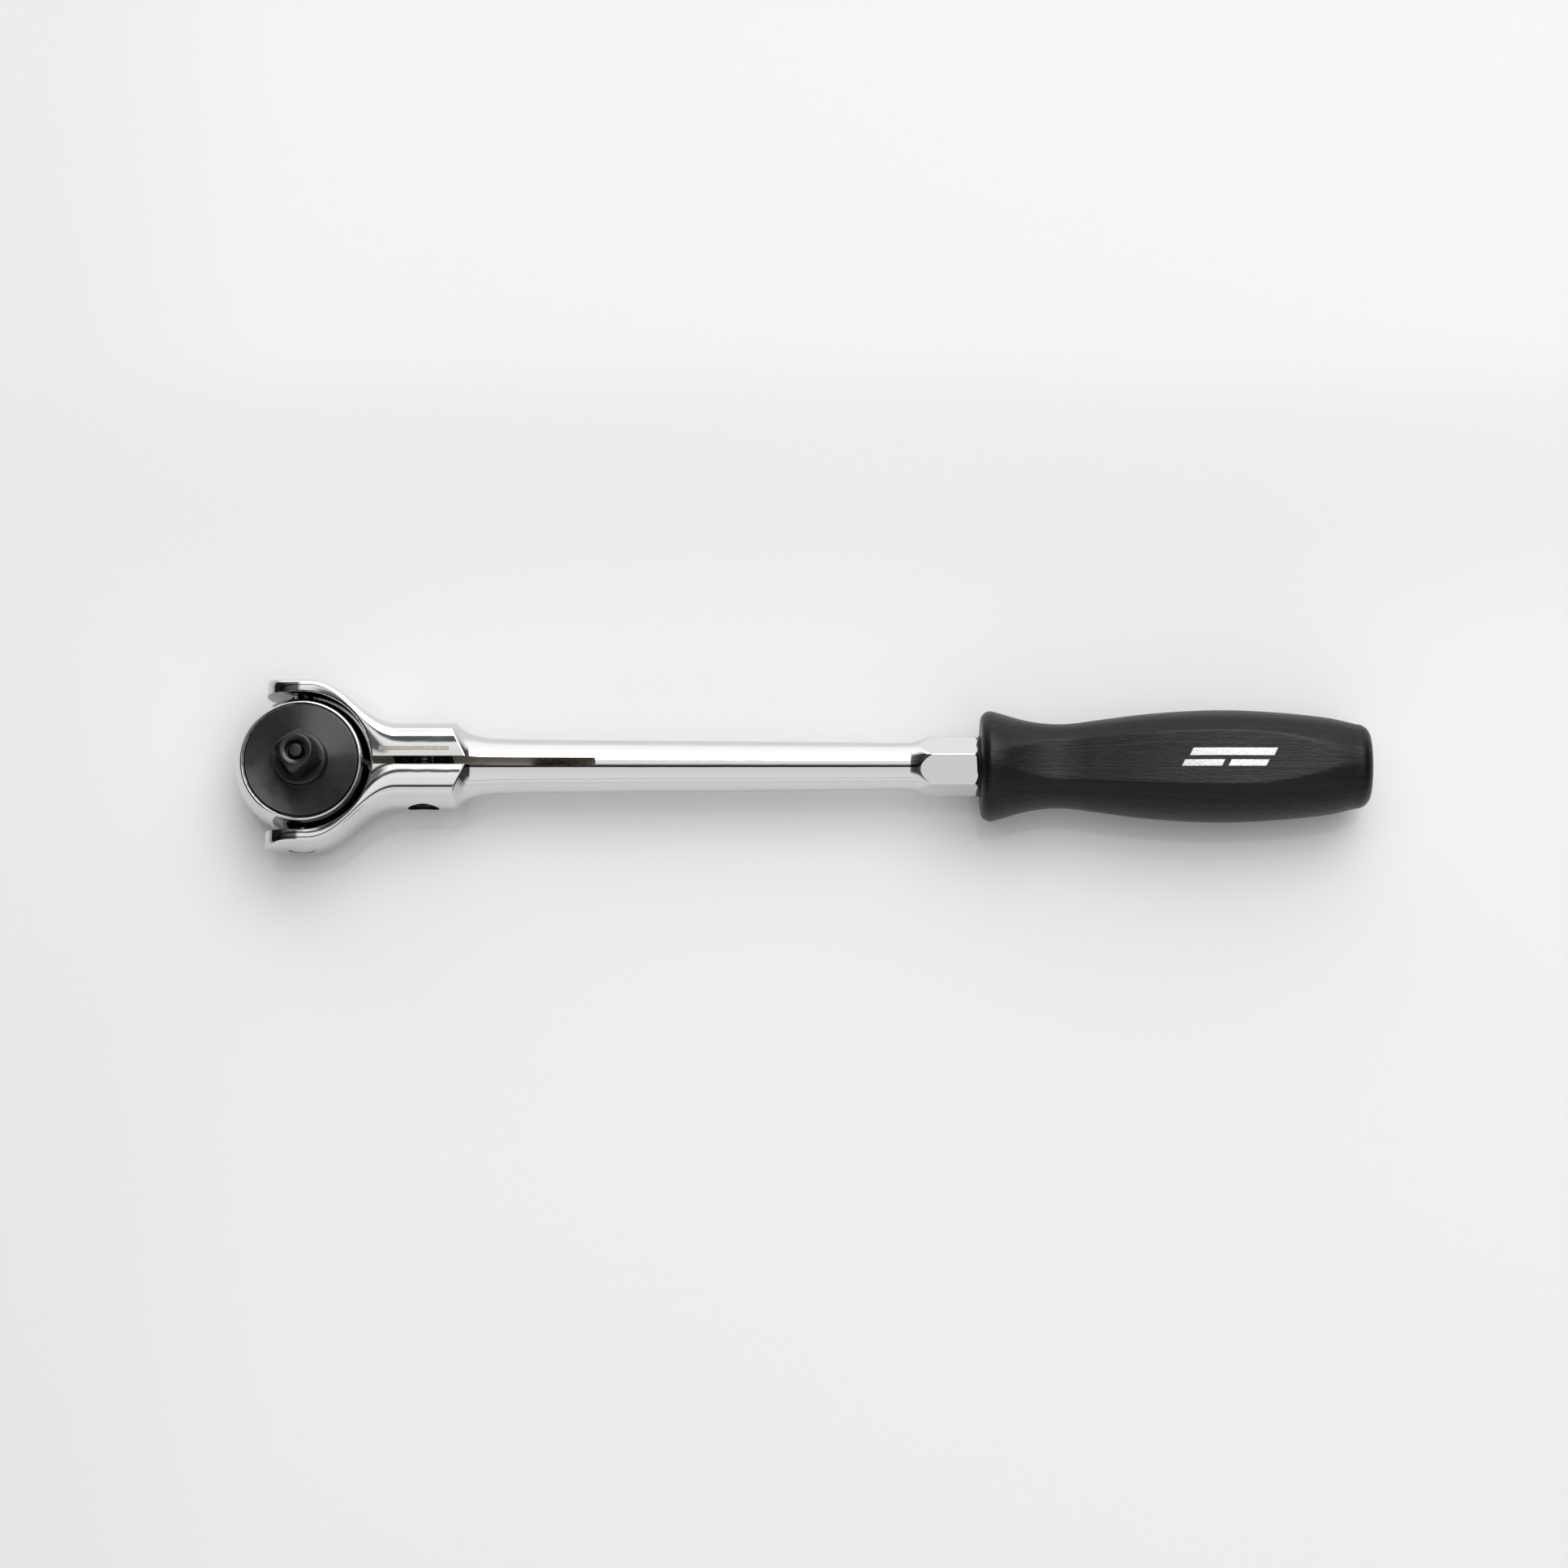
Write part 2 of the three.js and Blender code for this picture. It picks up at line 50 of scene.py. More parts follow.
JOINTS = {joint["name"]: joint for joint in frame["record"]["behaviour"]["joints"]}
SWIVEL = np.array(JOINTS["head_swivel"]["pos_m"])
BALL_WAY = -np.array(JOINTS["ball_retract"]["axis"])
BALL_ANGLE = math.atan2(BALL_WAY[1], BALL_WAY[0])
PAWL_ANGLE = BALL_ANGLE - math.pi / 2

# ---- Sizes, in millimetres ----
FORK_TIP = 6.9
FORK_HEIGHT = 6.5
BORE = 13.0
BORE_LIP = 0.6
SLOT_HALF = 0.775
SAW_X, SAW_Z, SAW_RADIUS = 29.0, 24.0, 32.0
POCKET_START, POCKET_END = 17.1, 28.1
SCREW_X = 22.5
PIN_SEAT = 2.45
BOLSTER_START = 112.6
BOLSTER_END = 126.1
BOLSTER_FLAT = 4.85
BOLSTER_TURN = math.radians(17)
HEAD_RADIUS = 12.75
HEAD_EDGE = 6.1
PIN_HOLE = 1.85
GEAR_TEETH = 72
GEAR_TIP, GEAR_DEPTH = 8.3, 0.6
GRIP_FRONT = 126.35
GRIP_ROUND = 1.8
GRIP_END = 199.1
GRIP_BORE = 3.3
SQUARE_HALF = 3.15
SQUARE_CORNER = 4.14
SQUARE_TIP = 16.05
BALL_HEIGHT = 12.35
DIAL_NOTCHES = 16


# ---- Mesh helpers ----
def place(points):
    """Points in millimetres from the swivel centre, as row frame metres."""
    return np.asarray(points, dtype=float) * MM + SWIVEL


def make_piece(name, vertices, faces, body, replaced=(), smooth=True):
    mesh = bpy.data.meshes.new(name)
    mesh.from_pydata([tuple(v) for v in place(vertices)], [], faces)
    mesh.validate()
    mesh.polygons.foreach_set("use_smooth", [smooth] * len(mesh.polygons))
    piece = bpy.data.objects.new(name, mesh)
    bpy.context.collection.objects.link(piece)
    if body:
        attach(piece, body)
    if replaced:
        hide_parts(*replaced)
    return piece


def weigh_normals(piece):
    """Large faces stay flat right up to the small rounds along their edges."""
    modifier = piece.modifiers.new("even_normals", "WEIGHTED_NORMAL")
    modifier.keep_sharp = True
    modifier.weight = 60
    return piece


def filleted(profile, steps=5):
    """A profile of (radius, along[, round]) with its corners rounded by arcs."""
    points = []
    count = len(profile)
    for i, corner in enumerate(profile):
        here = np.array(corner[:2], dtype=float)
        size = corner[2] if len(corner) > 2 else 0.0
        if size == 0 or i in (0, count - 1):
            points.append(tuple(here))
            continue
        before = np.array(profile[i - 1][:2], dtype=float) - here
        after = np.array(profile[i + 1][:2], dtype=float) - here
        start = here + before / np.linalg.norm(before) * size
        end = here + after / np.linalg.norm(after) * size
        for t in np.linspace(0, 1, steps):
            points.append(tuple((1 - t) ** 2 * start + 2 * t * (1 - t) * here + t ** 2 * end))
    return points


def axis_points(radius, along, angle, axis):
    c, s = np.cos(angle) * radius, np.sin(angle) * radius
    along = along + 0 * c
    if axis == "z":
        return np.stack([c, s, along], axis=-1)
    if axis == "y":
        return np.stack([s, along, c], axis=-1)
    return np.stack([along, c, s], axis=-1)


def grid_faces(rings, columns, wrap_rings=False):
    faces = []
    for i in range(rings if wrap_rings else rings - 1):
        low, high = i * columns, ((i + 1) % rings) * columns
        for j in range(columns):
            k = (j + 1) % columns
            faces.append((low + j, low + k, high + k, high + j))
    return faces


def turned(name, profile, axis, body, replaced=(), columns=128, shape=None):
    """A body of revolution, outer side going up the axis. It starts and ends on the axis, or closes on
    itself. shape(points, angle, along) may move its points."""
    outline = filleted(profile)
    closed = outline[0] == outline[-1]
    on_axis = outline[0][0] == 0
    rows = outline[:-1] if closed else outline[1:-1] if on_axis else outline
    angle = np.arange(columns) * 2 * math.pi / columns
    vertices = []
    for radius, along in rows:
        ring = axis_points(radius, along, angle, axis)
        vertices.append(shape(ring, angle, along) if shape else ring)
    vertices = np.concatenate(vertices)
    faces = grid_faces(len(rows), columns, wrap_rings=closed)
    if on_axis and not closed:
        for end, first, turn in ((outline[0], 0, -1), (outline[-1], (len(rows) - 1) * columns, 1)):
            centre = len(vertices)
            point = axis_points(0, end[1], angle[:1], axis)
            vertices = np.concatenate([vertices, shape(point, angle[:1], end[1]) if shape else point])
            for j in range(columns):
                pair = (first + j, first + (j + 1) % columns)
                faces.append((centre, *pair[::turn]))
    return weigh_normals(make_piece(name, vertices, faces, body, replaced))


def open_ring(name, inner, outer, low, high, start, end, body, replaced, edge=0.08):
    """A flat spring ring with a gap, from one angle to the other (degrees), with softened edges."""
    section = [
        (inner + edge, low), (outer - edge, low), (outer, low + edge), (outer, high - edge),
        (outer - edge, high), (inner + edge, high), (inner, high - edge), (inner, low + edge),
    ]
    angles = np.radians(np.linspace(start, end, 120))
    vertices = np.array([(r * math.cos(a), r * math.sin(a), z) for a in angles for r, z in section])
    columns = len(section)
    faces = grid_faces(len(angles), columns)
    faces = [face[::-1] for face in faces]
    faces.append(tuple(range(columns)))
    faces.append(tuple(range(len(vertices) - columns, len(vertices)))[::-1])
    return weigh_normals(make_piece(name, vertices, faces, body, replaced))


def cutter(vertices, faces, index):
    """A hidden solid for a boolean cut. Its faces bring that material index with them."""
    piece = make_piece("cutter", vertices, faces, None)
    for _ in range(index + 1):
        piece.data.materials.append(None)
    piece.data.polygons.foreach_set("material_index", [index] * len(piece.data.polygons))
    return piece


def round_cutter(radius, low, high, axis, centre, index, columns=64):
    angle = np.arange(columns) * 2 * math.pi / columns
    rings = [axis_points(radius, along, angle, axis) + np.array(centre) for along in (low, high)]
    faces = grid_faces(2, columns)
    faces.append(tuple(range(columns))[::-1])
    faces.append(tuple(range(columns, 2 * columns)))
    return cutter(np.concatenate(rings), faces, index)


def block_cutter(low, high, index):
    corners = [(x, y, z) for x in (low[0], high[0]) for y in (low[1], high[1]) for z in (low[2], high[2])]
    faces = [(0, 1, 3, 2), (4, 6, 7, 5), (0, 4, 5, 1), (2, 3, 7, 6), (0, 2, 6, 4), (1, 5, 7, 3)]
    return cutter(corners, faces, index)


def cut(piece, cutters):
    """Cuts the solids out of the piece and throws them away."""
    for tool in cutters:
        modifier = piece.modifiers.new("cut", "BOOLEAN")
        modifier.operation = "DIFFERENCE"
        modifier.solver = "EXACT"
        modifier.material_mode = "INDEX"
        modifier.object = tool
    bpy.context.view_layer.update()
    graph = bpy.context.evaluated_depsgraph_get()
    mesh = bpy.data.meshes.new_from_object(piece.evaluated_get(graph))
    piece.modifiers.clear()
    piece.data = mesh
    for tool in cutters:
        bpy.data.objects.remove(tool)
    return piece


def set_normals(piece, normal_of, sharp=math.radians(30)):
    """Faces with material index 0 take the exact normals of their surface, the rest are smooth by angle."""
    mesh = piece.data
    mesh.polygons.foreach_set("use_smooth", [True] * len(mesh.polygons))
    mesh.set_sharp_from_angle(angle=sharp)
    corner_normals = np.empty(len(mesh.loops) * 3)
    mesh.corner_normals.foreach_get("vector", corner_normals)
    corner_normals = corner_normals.reshape(-1, 3)
    vertex_of = np.empty(len(mesh.loops), dtype=int)
    mesh.loops.foreach_get("vertex_index", vertex_of)
    places = np.empty(len(mesh.vertices) * 3)
    mesh.vertices.foreach_get("co", places)
    points = (places.reshape(-1, 3) - SWIVEL) / MM
    exact = normal_of(points)
    index = np.empty(len(mesh.polygons), dtype=int)
    mesh.polygons.foreach_get("material_index", index)
    totals = np.empty(len(mesh.polygons), dtype=int)
    mesh.polygons.foreach_get("loop_total", totals)
    outer = np.repeat(index, totals) == 0
    agrees = np.einsum("ij,ij->i", corner_normals, exact[vertex_of]) > 0.5
    chosen = outer & agrees
    corner_normals[chosen] = exact[vertex_of][chosen]
    mesh.normals_split_custom_set(corner_normals.tolist())


def surface_normals(radius_of):
    """Exact normals of a surface given as radius_of(x, angle) round the X axis."""
    def normals(points):
        step = 0.01

        def height(p):
            return np.hypot(p[:, 1], p[:, 2]) - radius_of(p[:, 0], np.arctan2(p[:, 2], p[:, 1]))
        result = np.zeros_like(points)
        for axis in range(3):
            shift = np.zeros(3)
            shift[axis] = step
            result[:, axis] = height(points + shift) - height(points - shift)
        size = np.linalg.norm(result, axis=1, keepdims=True)
        return result / np.maximum(size, 1e-9)
    return normals


def smooth_step(x, low, high):
    t = np.clip((x - low) / (high - low), 0, 1)
    return t * t * (3 - 2 * t)


def smooth_min(a, b, width):
    blend = np.clip(0.5 + 0.5 * (b - a) / width, 0, 1)
    return b * (1 - blend) + a * blend - width * blend * (1 - blend)


# ---- Fork, neck, shaft and bolster ----
# Turned radius along X: it frees the fork, then forms the neck's shoulder, the shaft and the bolster.
ENVELOPE = np.array([
    (-14, 30), (20, 30), (24, 15.2), (26.7, 10.5), (28.6, 8.1), (29.4, 7.3), (30.2, 6.68), (31, 6.24),
    (32, 5.88), (33.9, 5.44), (37.3, 5.16), (43, 5.03), (49.4, 4.96), (79.7, 4.73), (105, 4.51),
    (BOLSTER_START, 4.45), (113.4, 4.5), (117, 5.62), (117.9, 5.8), (119, 5.8), (124.4, 5.8),
    (125.1, 5.72), (125.3, 5.6),
    (BOLSTER_END, 4.9), (130, 4.9),
])


def bezier(start, first, second, end, count=400):
    t = np.linspace(0, 1, count)
    weights = ((1 - t) ** 3, 3 * t * (1 - t) ** 2, 3 * t ** 2 * (1 - t), t ** 3)
    return sum(np.outer(w, c) for w, c in zip(weights, (start, first, second, end)))


# Half width of the fork along X, and how far out its top faces reach before they turn down.
FORK_OUTLINE = bezier((1.2, 16.12), (8.0, 16.05), (10.9, 8.4), (17.5, 8.1))
FORK_LAND = bezier((1.0, 15.0), (9.5, 15.15), (13.8, 4.9), (19.0, 5.0))
FORK_INNER = bezier((1.0, BORE), (9.0, BORE), (10.5, SLOT_HALF), (18.0, SLOT_HALF))


def smooth_curve(table, x):
    """A smooth curve through the points of a table."""
    slopes = np.gradient(table[:, 1], table[:, 0])
    i = np.clip(np.searchsorted(table[:, 0], x) - 1, 0, len(table) - 2)
    x0, y0, span = table[i, 0], table[i, 1], table[i + 1, 0] - table[i, 0]
    t = np.clip((x - x0) / span, 0, 1)
    return (
        y0 * (1 + 2 * t) * (1 - t) ** 2 + slopes[i] * span * t * (1 - t) ** 2
        + table[i + 1, 1] * t * t * (3 - 2 * t) + slopes[i + 1] * span * t * t * (t - 1)
    )


def crowned(along, across, height, crown):
    """Distance out to a face at that height, bulged to the crown radius, along a ray (across, along)."""
    bend = across ** 2 / crown
    return 2 * height / (along + np.sqrt(along ** 2 + 2 * height * bend))


def rounded_box(c, s, width, height, corner):
    """Distance from the middle of a box with round corners to its edge, in the direction (c, s)."""
    y0, z0 = width - corner, height - corner
    along = c * y0 + s * z0
    arc = along + np.sqrt(np.clip(along ** 2 - y0 ** 2 - z0 ** 2 + corner ** 2, 0, None))
    top = height / np.maximum(s, 1e-6)
    side = width / np.maximum(c, 1e-6)
    return np.where(top * c < y0, top, np.where(side * s < z0, side, arc))


def fork_section(x):
    """Half width, half height and corner radius of the fork's section, and how far it is neck, not ear."""
    tip = np.clip(1 - (np.clip(-x, 0, None) / FORK_TIP) ** 2.6, 1e-4, None) ** (1 / 2.6)
    neck = smooth_step(x, 3, 18)
    height = (FORK_HEIGHT - 0.12 * (1 - neck)) * tip
    return np.interp(x, *FORK_OUTLINE.T), height, np.minimum(1.9 + 1.8 * neck, height * 0.98), neck


def forging_radius(x, angle):
    """Radius of the forging at an angle round the X axis, before the bore and the slot are cut."""
    c, s = np.abs(np.cos(angle)), np.abs(np.sin(angle))
    width, height, corner, neck = fork_section(x)
    section = rounded_box(c, s, width, height, corner)
    # The halves lean together a little, so their top faces dip towards the bore and the slot.
    inner = np.interp(x, *FORK_INNER.T)
    reach = np.maximum(np.interp(x, *FORK_LAND.T) - inner, 1.0)
    share = np.minimum((section * c - inner) / reach, 3)
    share = 0.5 * (share + np.sqrt(share ** 2 + 0.02))
    dip = (0.2 - 0.125 * neck) * reach * height / FORK_HEIGHT
    section = section + dip * share * np.exp(-(share / 0.75) ** 2)
    section = smooth_min(section, crowned(c, s, width, 20 - 10.5 * neck), 0.25)
    sixth = (angle - BOLSTER_TURN) % (math.pi / 3) - math.pi / 6
    hexagon = BOLSTER_FLAT / np.cos(sixth)
    section = np.where(x > BOLSTER_START, hexagon, section)
    envelope = smooth_curve(ENVELOPE, x)
    return smooth_min(section, envelope, 0.2)


def forging_columns(x, count):
    """Angles of the mesh columns: in step with the flats and round corners of the fork's section, then
    with the corners of the hexagon."""
    width, height, corner, _ = fork_section(x)
    side, arc, top = count // 12, count // 12, count // 12
    turn = np.linspace(0, math.pi / 2, arc + 1)[:-1]
    y = np.concatenate([
        np.full(side, width), width - corner + corner * np.cos(turn),
        (width - corner) * (1 - np.linspace(0, 1, top + 1)[:-1] ** 1.3)])
    z = np.concatenate([
        (height - corner) * np.linspace(0, 1, side + 1)[:-1], height - corner + corner * np.sin(turn),
        np.full(top, height)])
    quarter = np.arctan2(z, y)
    quarter[0] = 0
    mirrored = math.pi - np.append(quarter[1:], math.pi / 2)[::-1]
    half = np.concatenate([quarter, mirrored])
    boxed = np.concatenate([half, half + math.pi])
    even = 2 * math.pi * (np.arange(count) - 14) / count + BOLSTER_TURN
    share = smooth_step(x, 31, 60)
    return boxed * (1 - share) + even * share


def mouth_cutter():
    """The fork's bore, open towards the front, with a rounded lip at its top and bottom edges."""
    turns = np.radians(np.linspace(0, 75, 7))
    heights = list(FORK_HEIGHT - BORE_LIP + BORE_LIP * np.sin(turns)) + [9]
    flares = list(BORE_LIP - BORE_LIP * np.cos(turns))
    flares.append(flares[-1])
    heights = [-z for z in heights[::-1]] + heights
    flares = flares[::-1] + flares
    half = np.radians(np.linspace(-90, 90, 97))
    outline = [(math.cos(a), math.sin(a)) for a in half] + [(-14 / BORE, 1), (-14 / BORE, -1)]
    vertices = np.array([
        (u * (BORE + flare), v * (BORE + flare), z) for z, flare in zip(heights, flares) for u, v in outline])
    count = len(outline)
    faces = grid_faces(len(heights), count)
    faces.append(tuple(range(count))[::-1])
    faces.append(tuple(range(len(vertices) - count, len(vertices))))
    return cutter(vertices, faces, 1)


def fork_forging():
    stations = np.concatenate([
        -FORK_TIP * np.cos(np.linspace(0.03, math.pi / 2, 20)), np.linspace(0.4, 25.6, 64)[:-1],
        np.linspace(25.6, 38, 76), np.linspace(40, 112, 22), np.linspace(BOLSTER_START + 0.01, 119, 32),
        np.linspace(119.5, 124.3, 6), np.linspace(124.4, BOLSTER_END, 14),
    ])
    columns = 288
    rings = []
    for x in stations:
        angle = forging_columns(x, columns)
        rings.append(axis_points(forging_radius(np.full(columns, x), angle), x, angle, "x"))
    vertices = np.concatenate(rings)
    faces = grid_faces(len(stations), columns)
    faces.append(tuple(range(columns))[::-1])
    faces.append(tuple(range(len(vertices) - columns, len(vertices))))
    piece = make_piece("fork_forging", vertices, faces, "fork", ("fork_shank",))
    for _ in range(4):
        piece.data.materials.append(None)

    cut(piece, [
        mouth_cutter(),
        block_cutter((10, -SLOT_HALF, -10), (SAW_X, SLOT_HALF, 10), 2),
        round_cutter(SAW_RADIUS, -SLOT_HALF, SLOT_HALF, "y", (SAW_X, 0, SAW_Z), 2, 256),
        # The pocket and holes take index 3, the near-black steel that paints the shade inside them.
        block_cutter((POCKET_START, 0, -5.8), (POCKET_END, 3.0, 6.05), 3),
        round_cutter(2.95, -10, -3.5, "y", (SCREW_X, 0, 0), 3),
        round_cutter(1.8, -4.5, 6.2, "y", (SCREW_X, 0, 0), 3),
        round_cutter(PIN_SEAT, -20, 20, "y", (0, 0, 0), 3),
    ])
    set_normals(piece, surface_normals(forging_radius))
    return piece


# ---- Moulded grip ----
# Round radius of the grip along X, between its rounded ends, before the flats.
GRIP_PROFILE = np.array([
    (128.2, 10.3), (130, 9.85), (132.3, 9.15), (134.5, 8.58), (136.8, 8.15), (139.2, 7.9), (141.4, 7.85),
    (144.5, 8.07), (147.1, 8.46), (149.7, 8.8), (155, 9.5), (160.2, 10.0), (165, 10.3), (171.5, 10.48),
    (176.6, 10.35), (181.6, 10.05), (186.6, 9.6), (191.7, 8.95), (196.6, 7.85),
])


TOP_FLAT, SIDE_FLAT = 0.134, 0.0133
SIDE_FLAT_ANGLE = math.radians(39)


def grip_radius(x, angle):
    """Radius of the grip at an angle round the X axis. The flats are cut in by a share of the radius."""
    radius = smooth_curve(GRIP_PROFILE, x)
    rise = smooth_step(x, 129, 142) * (1 - smooth_step(x, 176, 197.5))
    from_top = np.arccos(np.clip(np.abs(np.sin(angle)), 0, 1))
    top = radius * (1 - TOP_FLAT * rise) / np.maximum(np.cos(from_top), 0.2)
    from_side = np.minimum(np.abs(from_top - SIDE_FLAT_ANGLE), 1.2)
    side = radius * (1 - SIDE_FLAT * rise) / np.cos(from_side)
    flats = smooth_min(top, side, 0.12)
    return smooth_min(radius + 0.03, flats + 0.03, 0.12)


def grip_body():
    front = [
        (GRIP_FRONT + GRIP_ROUND - GRIP_ROUND * math.cos(a), 8.5 + GRIP_ROUND * math.sin(a))
        for a in np.linspace(0, 1.5, 9)]
    end = [(196.5 + 2.6 * math.sin(a), 5.25 + 2.6 * math.cos(a)) for a in np.linspace(0, math.pi / 2, 14)]
    columns = 240
    angle = (np.arange(columns) + 0.5) * 2 * math.pi / columns
    rows = [(GRIP_FRONT, 3.4), (GRIP_FRONT, 6.0)] + front
    rows += [(x, None) for x in np.linspace(128.4, 196.4, 100)] + end[1:]
    rows += [(GRIP_END, 3.0), (GRIP_END + 0.02, 1.2)]
    rings = []
    for x, radius in rows:
        ring = grip_radius(np.full(columns, x), angle) if radius is None else np.full(columns, radius)
        if radius is not None and x > 190:
            ring = ring * grip_radius(np.full(columns, min(x, 196.5)), angle) / 7.87
        rings.append(axis_points(ring, x, angle, "x"))
    inner = [(176.0, GRIP_BORE), (GRIP_FRONT + 0.3, GRIP_BORE)]
    vertices = np.concatenate(rings)
    count = len(rings)
    faces = grid_faces(count, columns)
    centre = len(vertices)
    bore = [axis_points(np.full(columns, r), x, angle, "x") for x, r in inner]
    vertices = np.concatenate([vertices, [(GRIP_END + 0.03, 0, 0)], *bore, [(176.2, 0, 0)]])
    last = (count - 1) * columns
    deep, shallow = centre + 1, centre + 1 + columns
    for j in range(columns):
        k = (j + 1) % columns
        faces.append((centre, last + j, last + k))
        faces.append((shallow + j, shallow + k, k, j))
        faces.append((deep + j, deep + k, shallow + k, shallow + j))
        faces.append((deep + columns * 2, deep + k, deep + j))
    return make_piece("grip", vertices, faces, "fork", ("handle_grip",))


def gate_nub():
    """The small stub that the moulding's sprue leaves on the end."""
    def ragged(ring, angle, along):
        if along > GRIP_END + 0.1:
            ring = ring.copy()
            ring[:, 0] -= 0.05 * np.sin(3 * angle) + 0.03 * np.cos(5 * angle)
        return ring
    profile = [
        (0, GRIP_END - 0.3), (0.75, GRIP_END - 0.3), (0.72, GRIP_END + 0.17, 0.05), (0, GRIP_END + 0.19),
    ]
    return turned("gate_nub", profile, "x", "fork", columns=32, shape=ragged)


def moulding_flash():
    """A thin ragged skin of plastic that crept up round the bolster when the grip was moulded on."""
    def ragged(ring, angle, along):
        if along < GRIP_FRONT - 0.3:
            ring = ring.copy()
            wave = 0.5 * np.sin(3 * angle + 0.6) + 0.3 * np.sin(7 * angle) + 0.25 * np.sin(11 * angle + 2)
            ring[:, 0] += 0.22 * wave
        return ring
    profile = [
        (4.75, 125.55), (5.55, 125.75, 0.1), (6.0, GRIP_FRONT + 0.2), (4.0, GRIP_FRONT + 0.2), (4.75, 125.55),
    ]
    return turned("moulding_flash", profile, "x", "fork", columns=180, shape=ragged)


def foil_mark():
    """A plain foil mark on the top flat of the grip: one long slanted bar over two short ones."""
    vertices, faces = [], []
    columns, rows = 40, 8
    size = columns * rows
    slant = 0.5
    bars = ((164.6, 180.2, 0.35, 1.75), (164.1, 171.5, -1.65, -0.45), (172.7, 179.7, -1.65, -0.45))
    for x0, x1, y0, y1 in bars:
        for lift in (0.05, -0.3):
            for v in np.linspace(0, 1, rows):
                for u in np.linspace(0, 1, columns):
                    y = y0 + (y1 - y0) * v
                    x = x0 + (x1 - x0) * u + slant * y
                    vertices.append((x, y, lift))
        base = len(vertices) - 2 * size
        for i in range(rows - 1):
            for j in range(columns - 1):
                a = base + i * columns + j
                faces.append((a, a + 1, a + columns + 1, a + columns))
                faces.append((a + size, a + size + columns, a + size + columns + 1, a + size + 1))
        edge = [base + j for j in range(columns)]
        edge += [base + i * columns + columns - 1 for i in range(1, rows)]
        edge += [base + (rows - 1) * columns + j for j in range(columns - 2, -1, -1)]
        edge += [base + i * columns for i in range(rows - 2, 0, -1)]
        for a, b in zip(edge, edge[1:] + edge[:1]):
            faces.append((a, a + size, b + size, b))
    points = np.array(vertices)
    angle = np.arctan2(np.sqrt(points[:, 1] ** 2 + 80), points[:, 1])
    radius = grip_radius(points[:, 0], angle)
    height = np.sqrt(radius ** 2 - points[:, 1] ** 2)
    points[:, 2] += height
    return make_piece("foil_mark", points, faces, "fork", smooth=False)


# ---- Pins and screw of the fork ----
def pivot_pins():
    profile = [
        (0, 10.4), (1.65, 10.4, 0.1), (1.8, 10.6), (1.8, 13.15), (2.4, 13.15, 0.05), (2.4, 15.93, 0.08),
        (1.7, 16.06), (0.9, 16.15), (0, 16.18),
    ]
    pins = []
    for side, name in ((1, "right"), (-1, "left")):
        def mirrored(ring, angle, along, side=side):
            return ring * np.array([side, side, 1])
        pins.append(turned(
            f"swivel_pin_{name}", profile, "y", "fork", (f"pivot_pin_{name}",), 96, mirrored))
    return pins


def cross_screw():
    thread = [(1.7 - 0.16 * (i % 2), -3.6 + 0.3 * i) for i in range(1, 30)]
    profile = [(0, -7.2), (2.45, -7.2, 0.05), (2.75, -6.95, 0.05), (2.75, -4.25, 0.1), (1.7, -4.25)]
    profile += thread + [(1.3, 5.9), (0, 6.0)]

    def shifted(ring, _, along):
        return ring + np.array([SCREW_X, 0, 0])
    screw = turned("cross_screw", profile, "y", "fork", ("tension_screw",), 72, shifted)
    screw.modifiers.clear()
    key_socket = round_cutter(1.45, -8, -5.4, "y", (SCREW_X, 0, 0), 0, 6)
    cut(screw, [key_socket])
    screw.data.set_sharp_from_angle(angle=math.radians(30))
    return screw


# ---- Head ----
def head_shell():
    edge_angle = math.asin(HEAD_EDGE / HEAD_RADIUS)
    edge_radius = HEAD_RADIUS * math.cos(edge_angle)
    zone = [
        (HEAD_RADIUS * math.cos(a), HEAD_RADIUS * math.sin(a))
        for a in np.linspace(-edge_angle, edge_angle, 72)[2:-1]]
    bottom = [
        (edge_radius - 0.25, -HEAD_EDGE), (edge_radius - 0.08, -HEAD_EDGE + 0.03),
        (edge_radius + 0.02, -HEAD_EDGE + 0.12),
    ]
    top = [(edge_radius + 0.01, HEAD_EDGE - 0.1), (edge_radius - 0.1, HEAD_EDGE)]
    inner = [
        (10.9, HEAD_EDGE, 0.07), (10.9, 5.7), (11.08, 5.7), (11.08, 5.0), (10.9, 5.0), (10.9, 3.7),
        (8.92, 3.7), (GEAR_TIP, 3.55), (GEAR_TIP, -3.4), (4.7, -3.4), (4.7, -HEAD_EDGE, 0.15),
    ]
    profile = bottom + zone + top + inner + [bottom[0]]

    def toothed(ring, angle, along):
        radius = np.hypot(ring[:, 0], ring[:, 1])
        if abs(radius[0] - GEAR_TIP) < 0.01 and along < 3.6:
            phase = (angle - PAWL_ANGLE) / (2 * math.pi) * GEAR_TEETH
            grow = 1 + GEAR_DEPTH / GEAR_TIP * np.abs(2 * (phase % 1) - 1)
            ring = ring * np.stack([grow, grow, np.ones_like(grow)], axis=-1)
        return ring
    shell = turned("head_shell", profile, "z", "head", ("head_housing",), 288, toothed)
    shell.modifiers.clear()
    for _ in range(2):
        shell.data.materials.append(None)
    cut(shell, [
        round_cutter(PIN_HOLE, 10.2, 14, "y", (0, 0, 0), 1),
        round_cutter(PIN_HOLE, -14, -10.2, "y", (0, 0, 0), 1),
    ])
    return shell


def snap_ring():
    return open_ring(
        "snap_ring", 10.58, 11.04, 5.12, 5.58, -30, 248, "head", ("retaining_ring",))


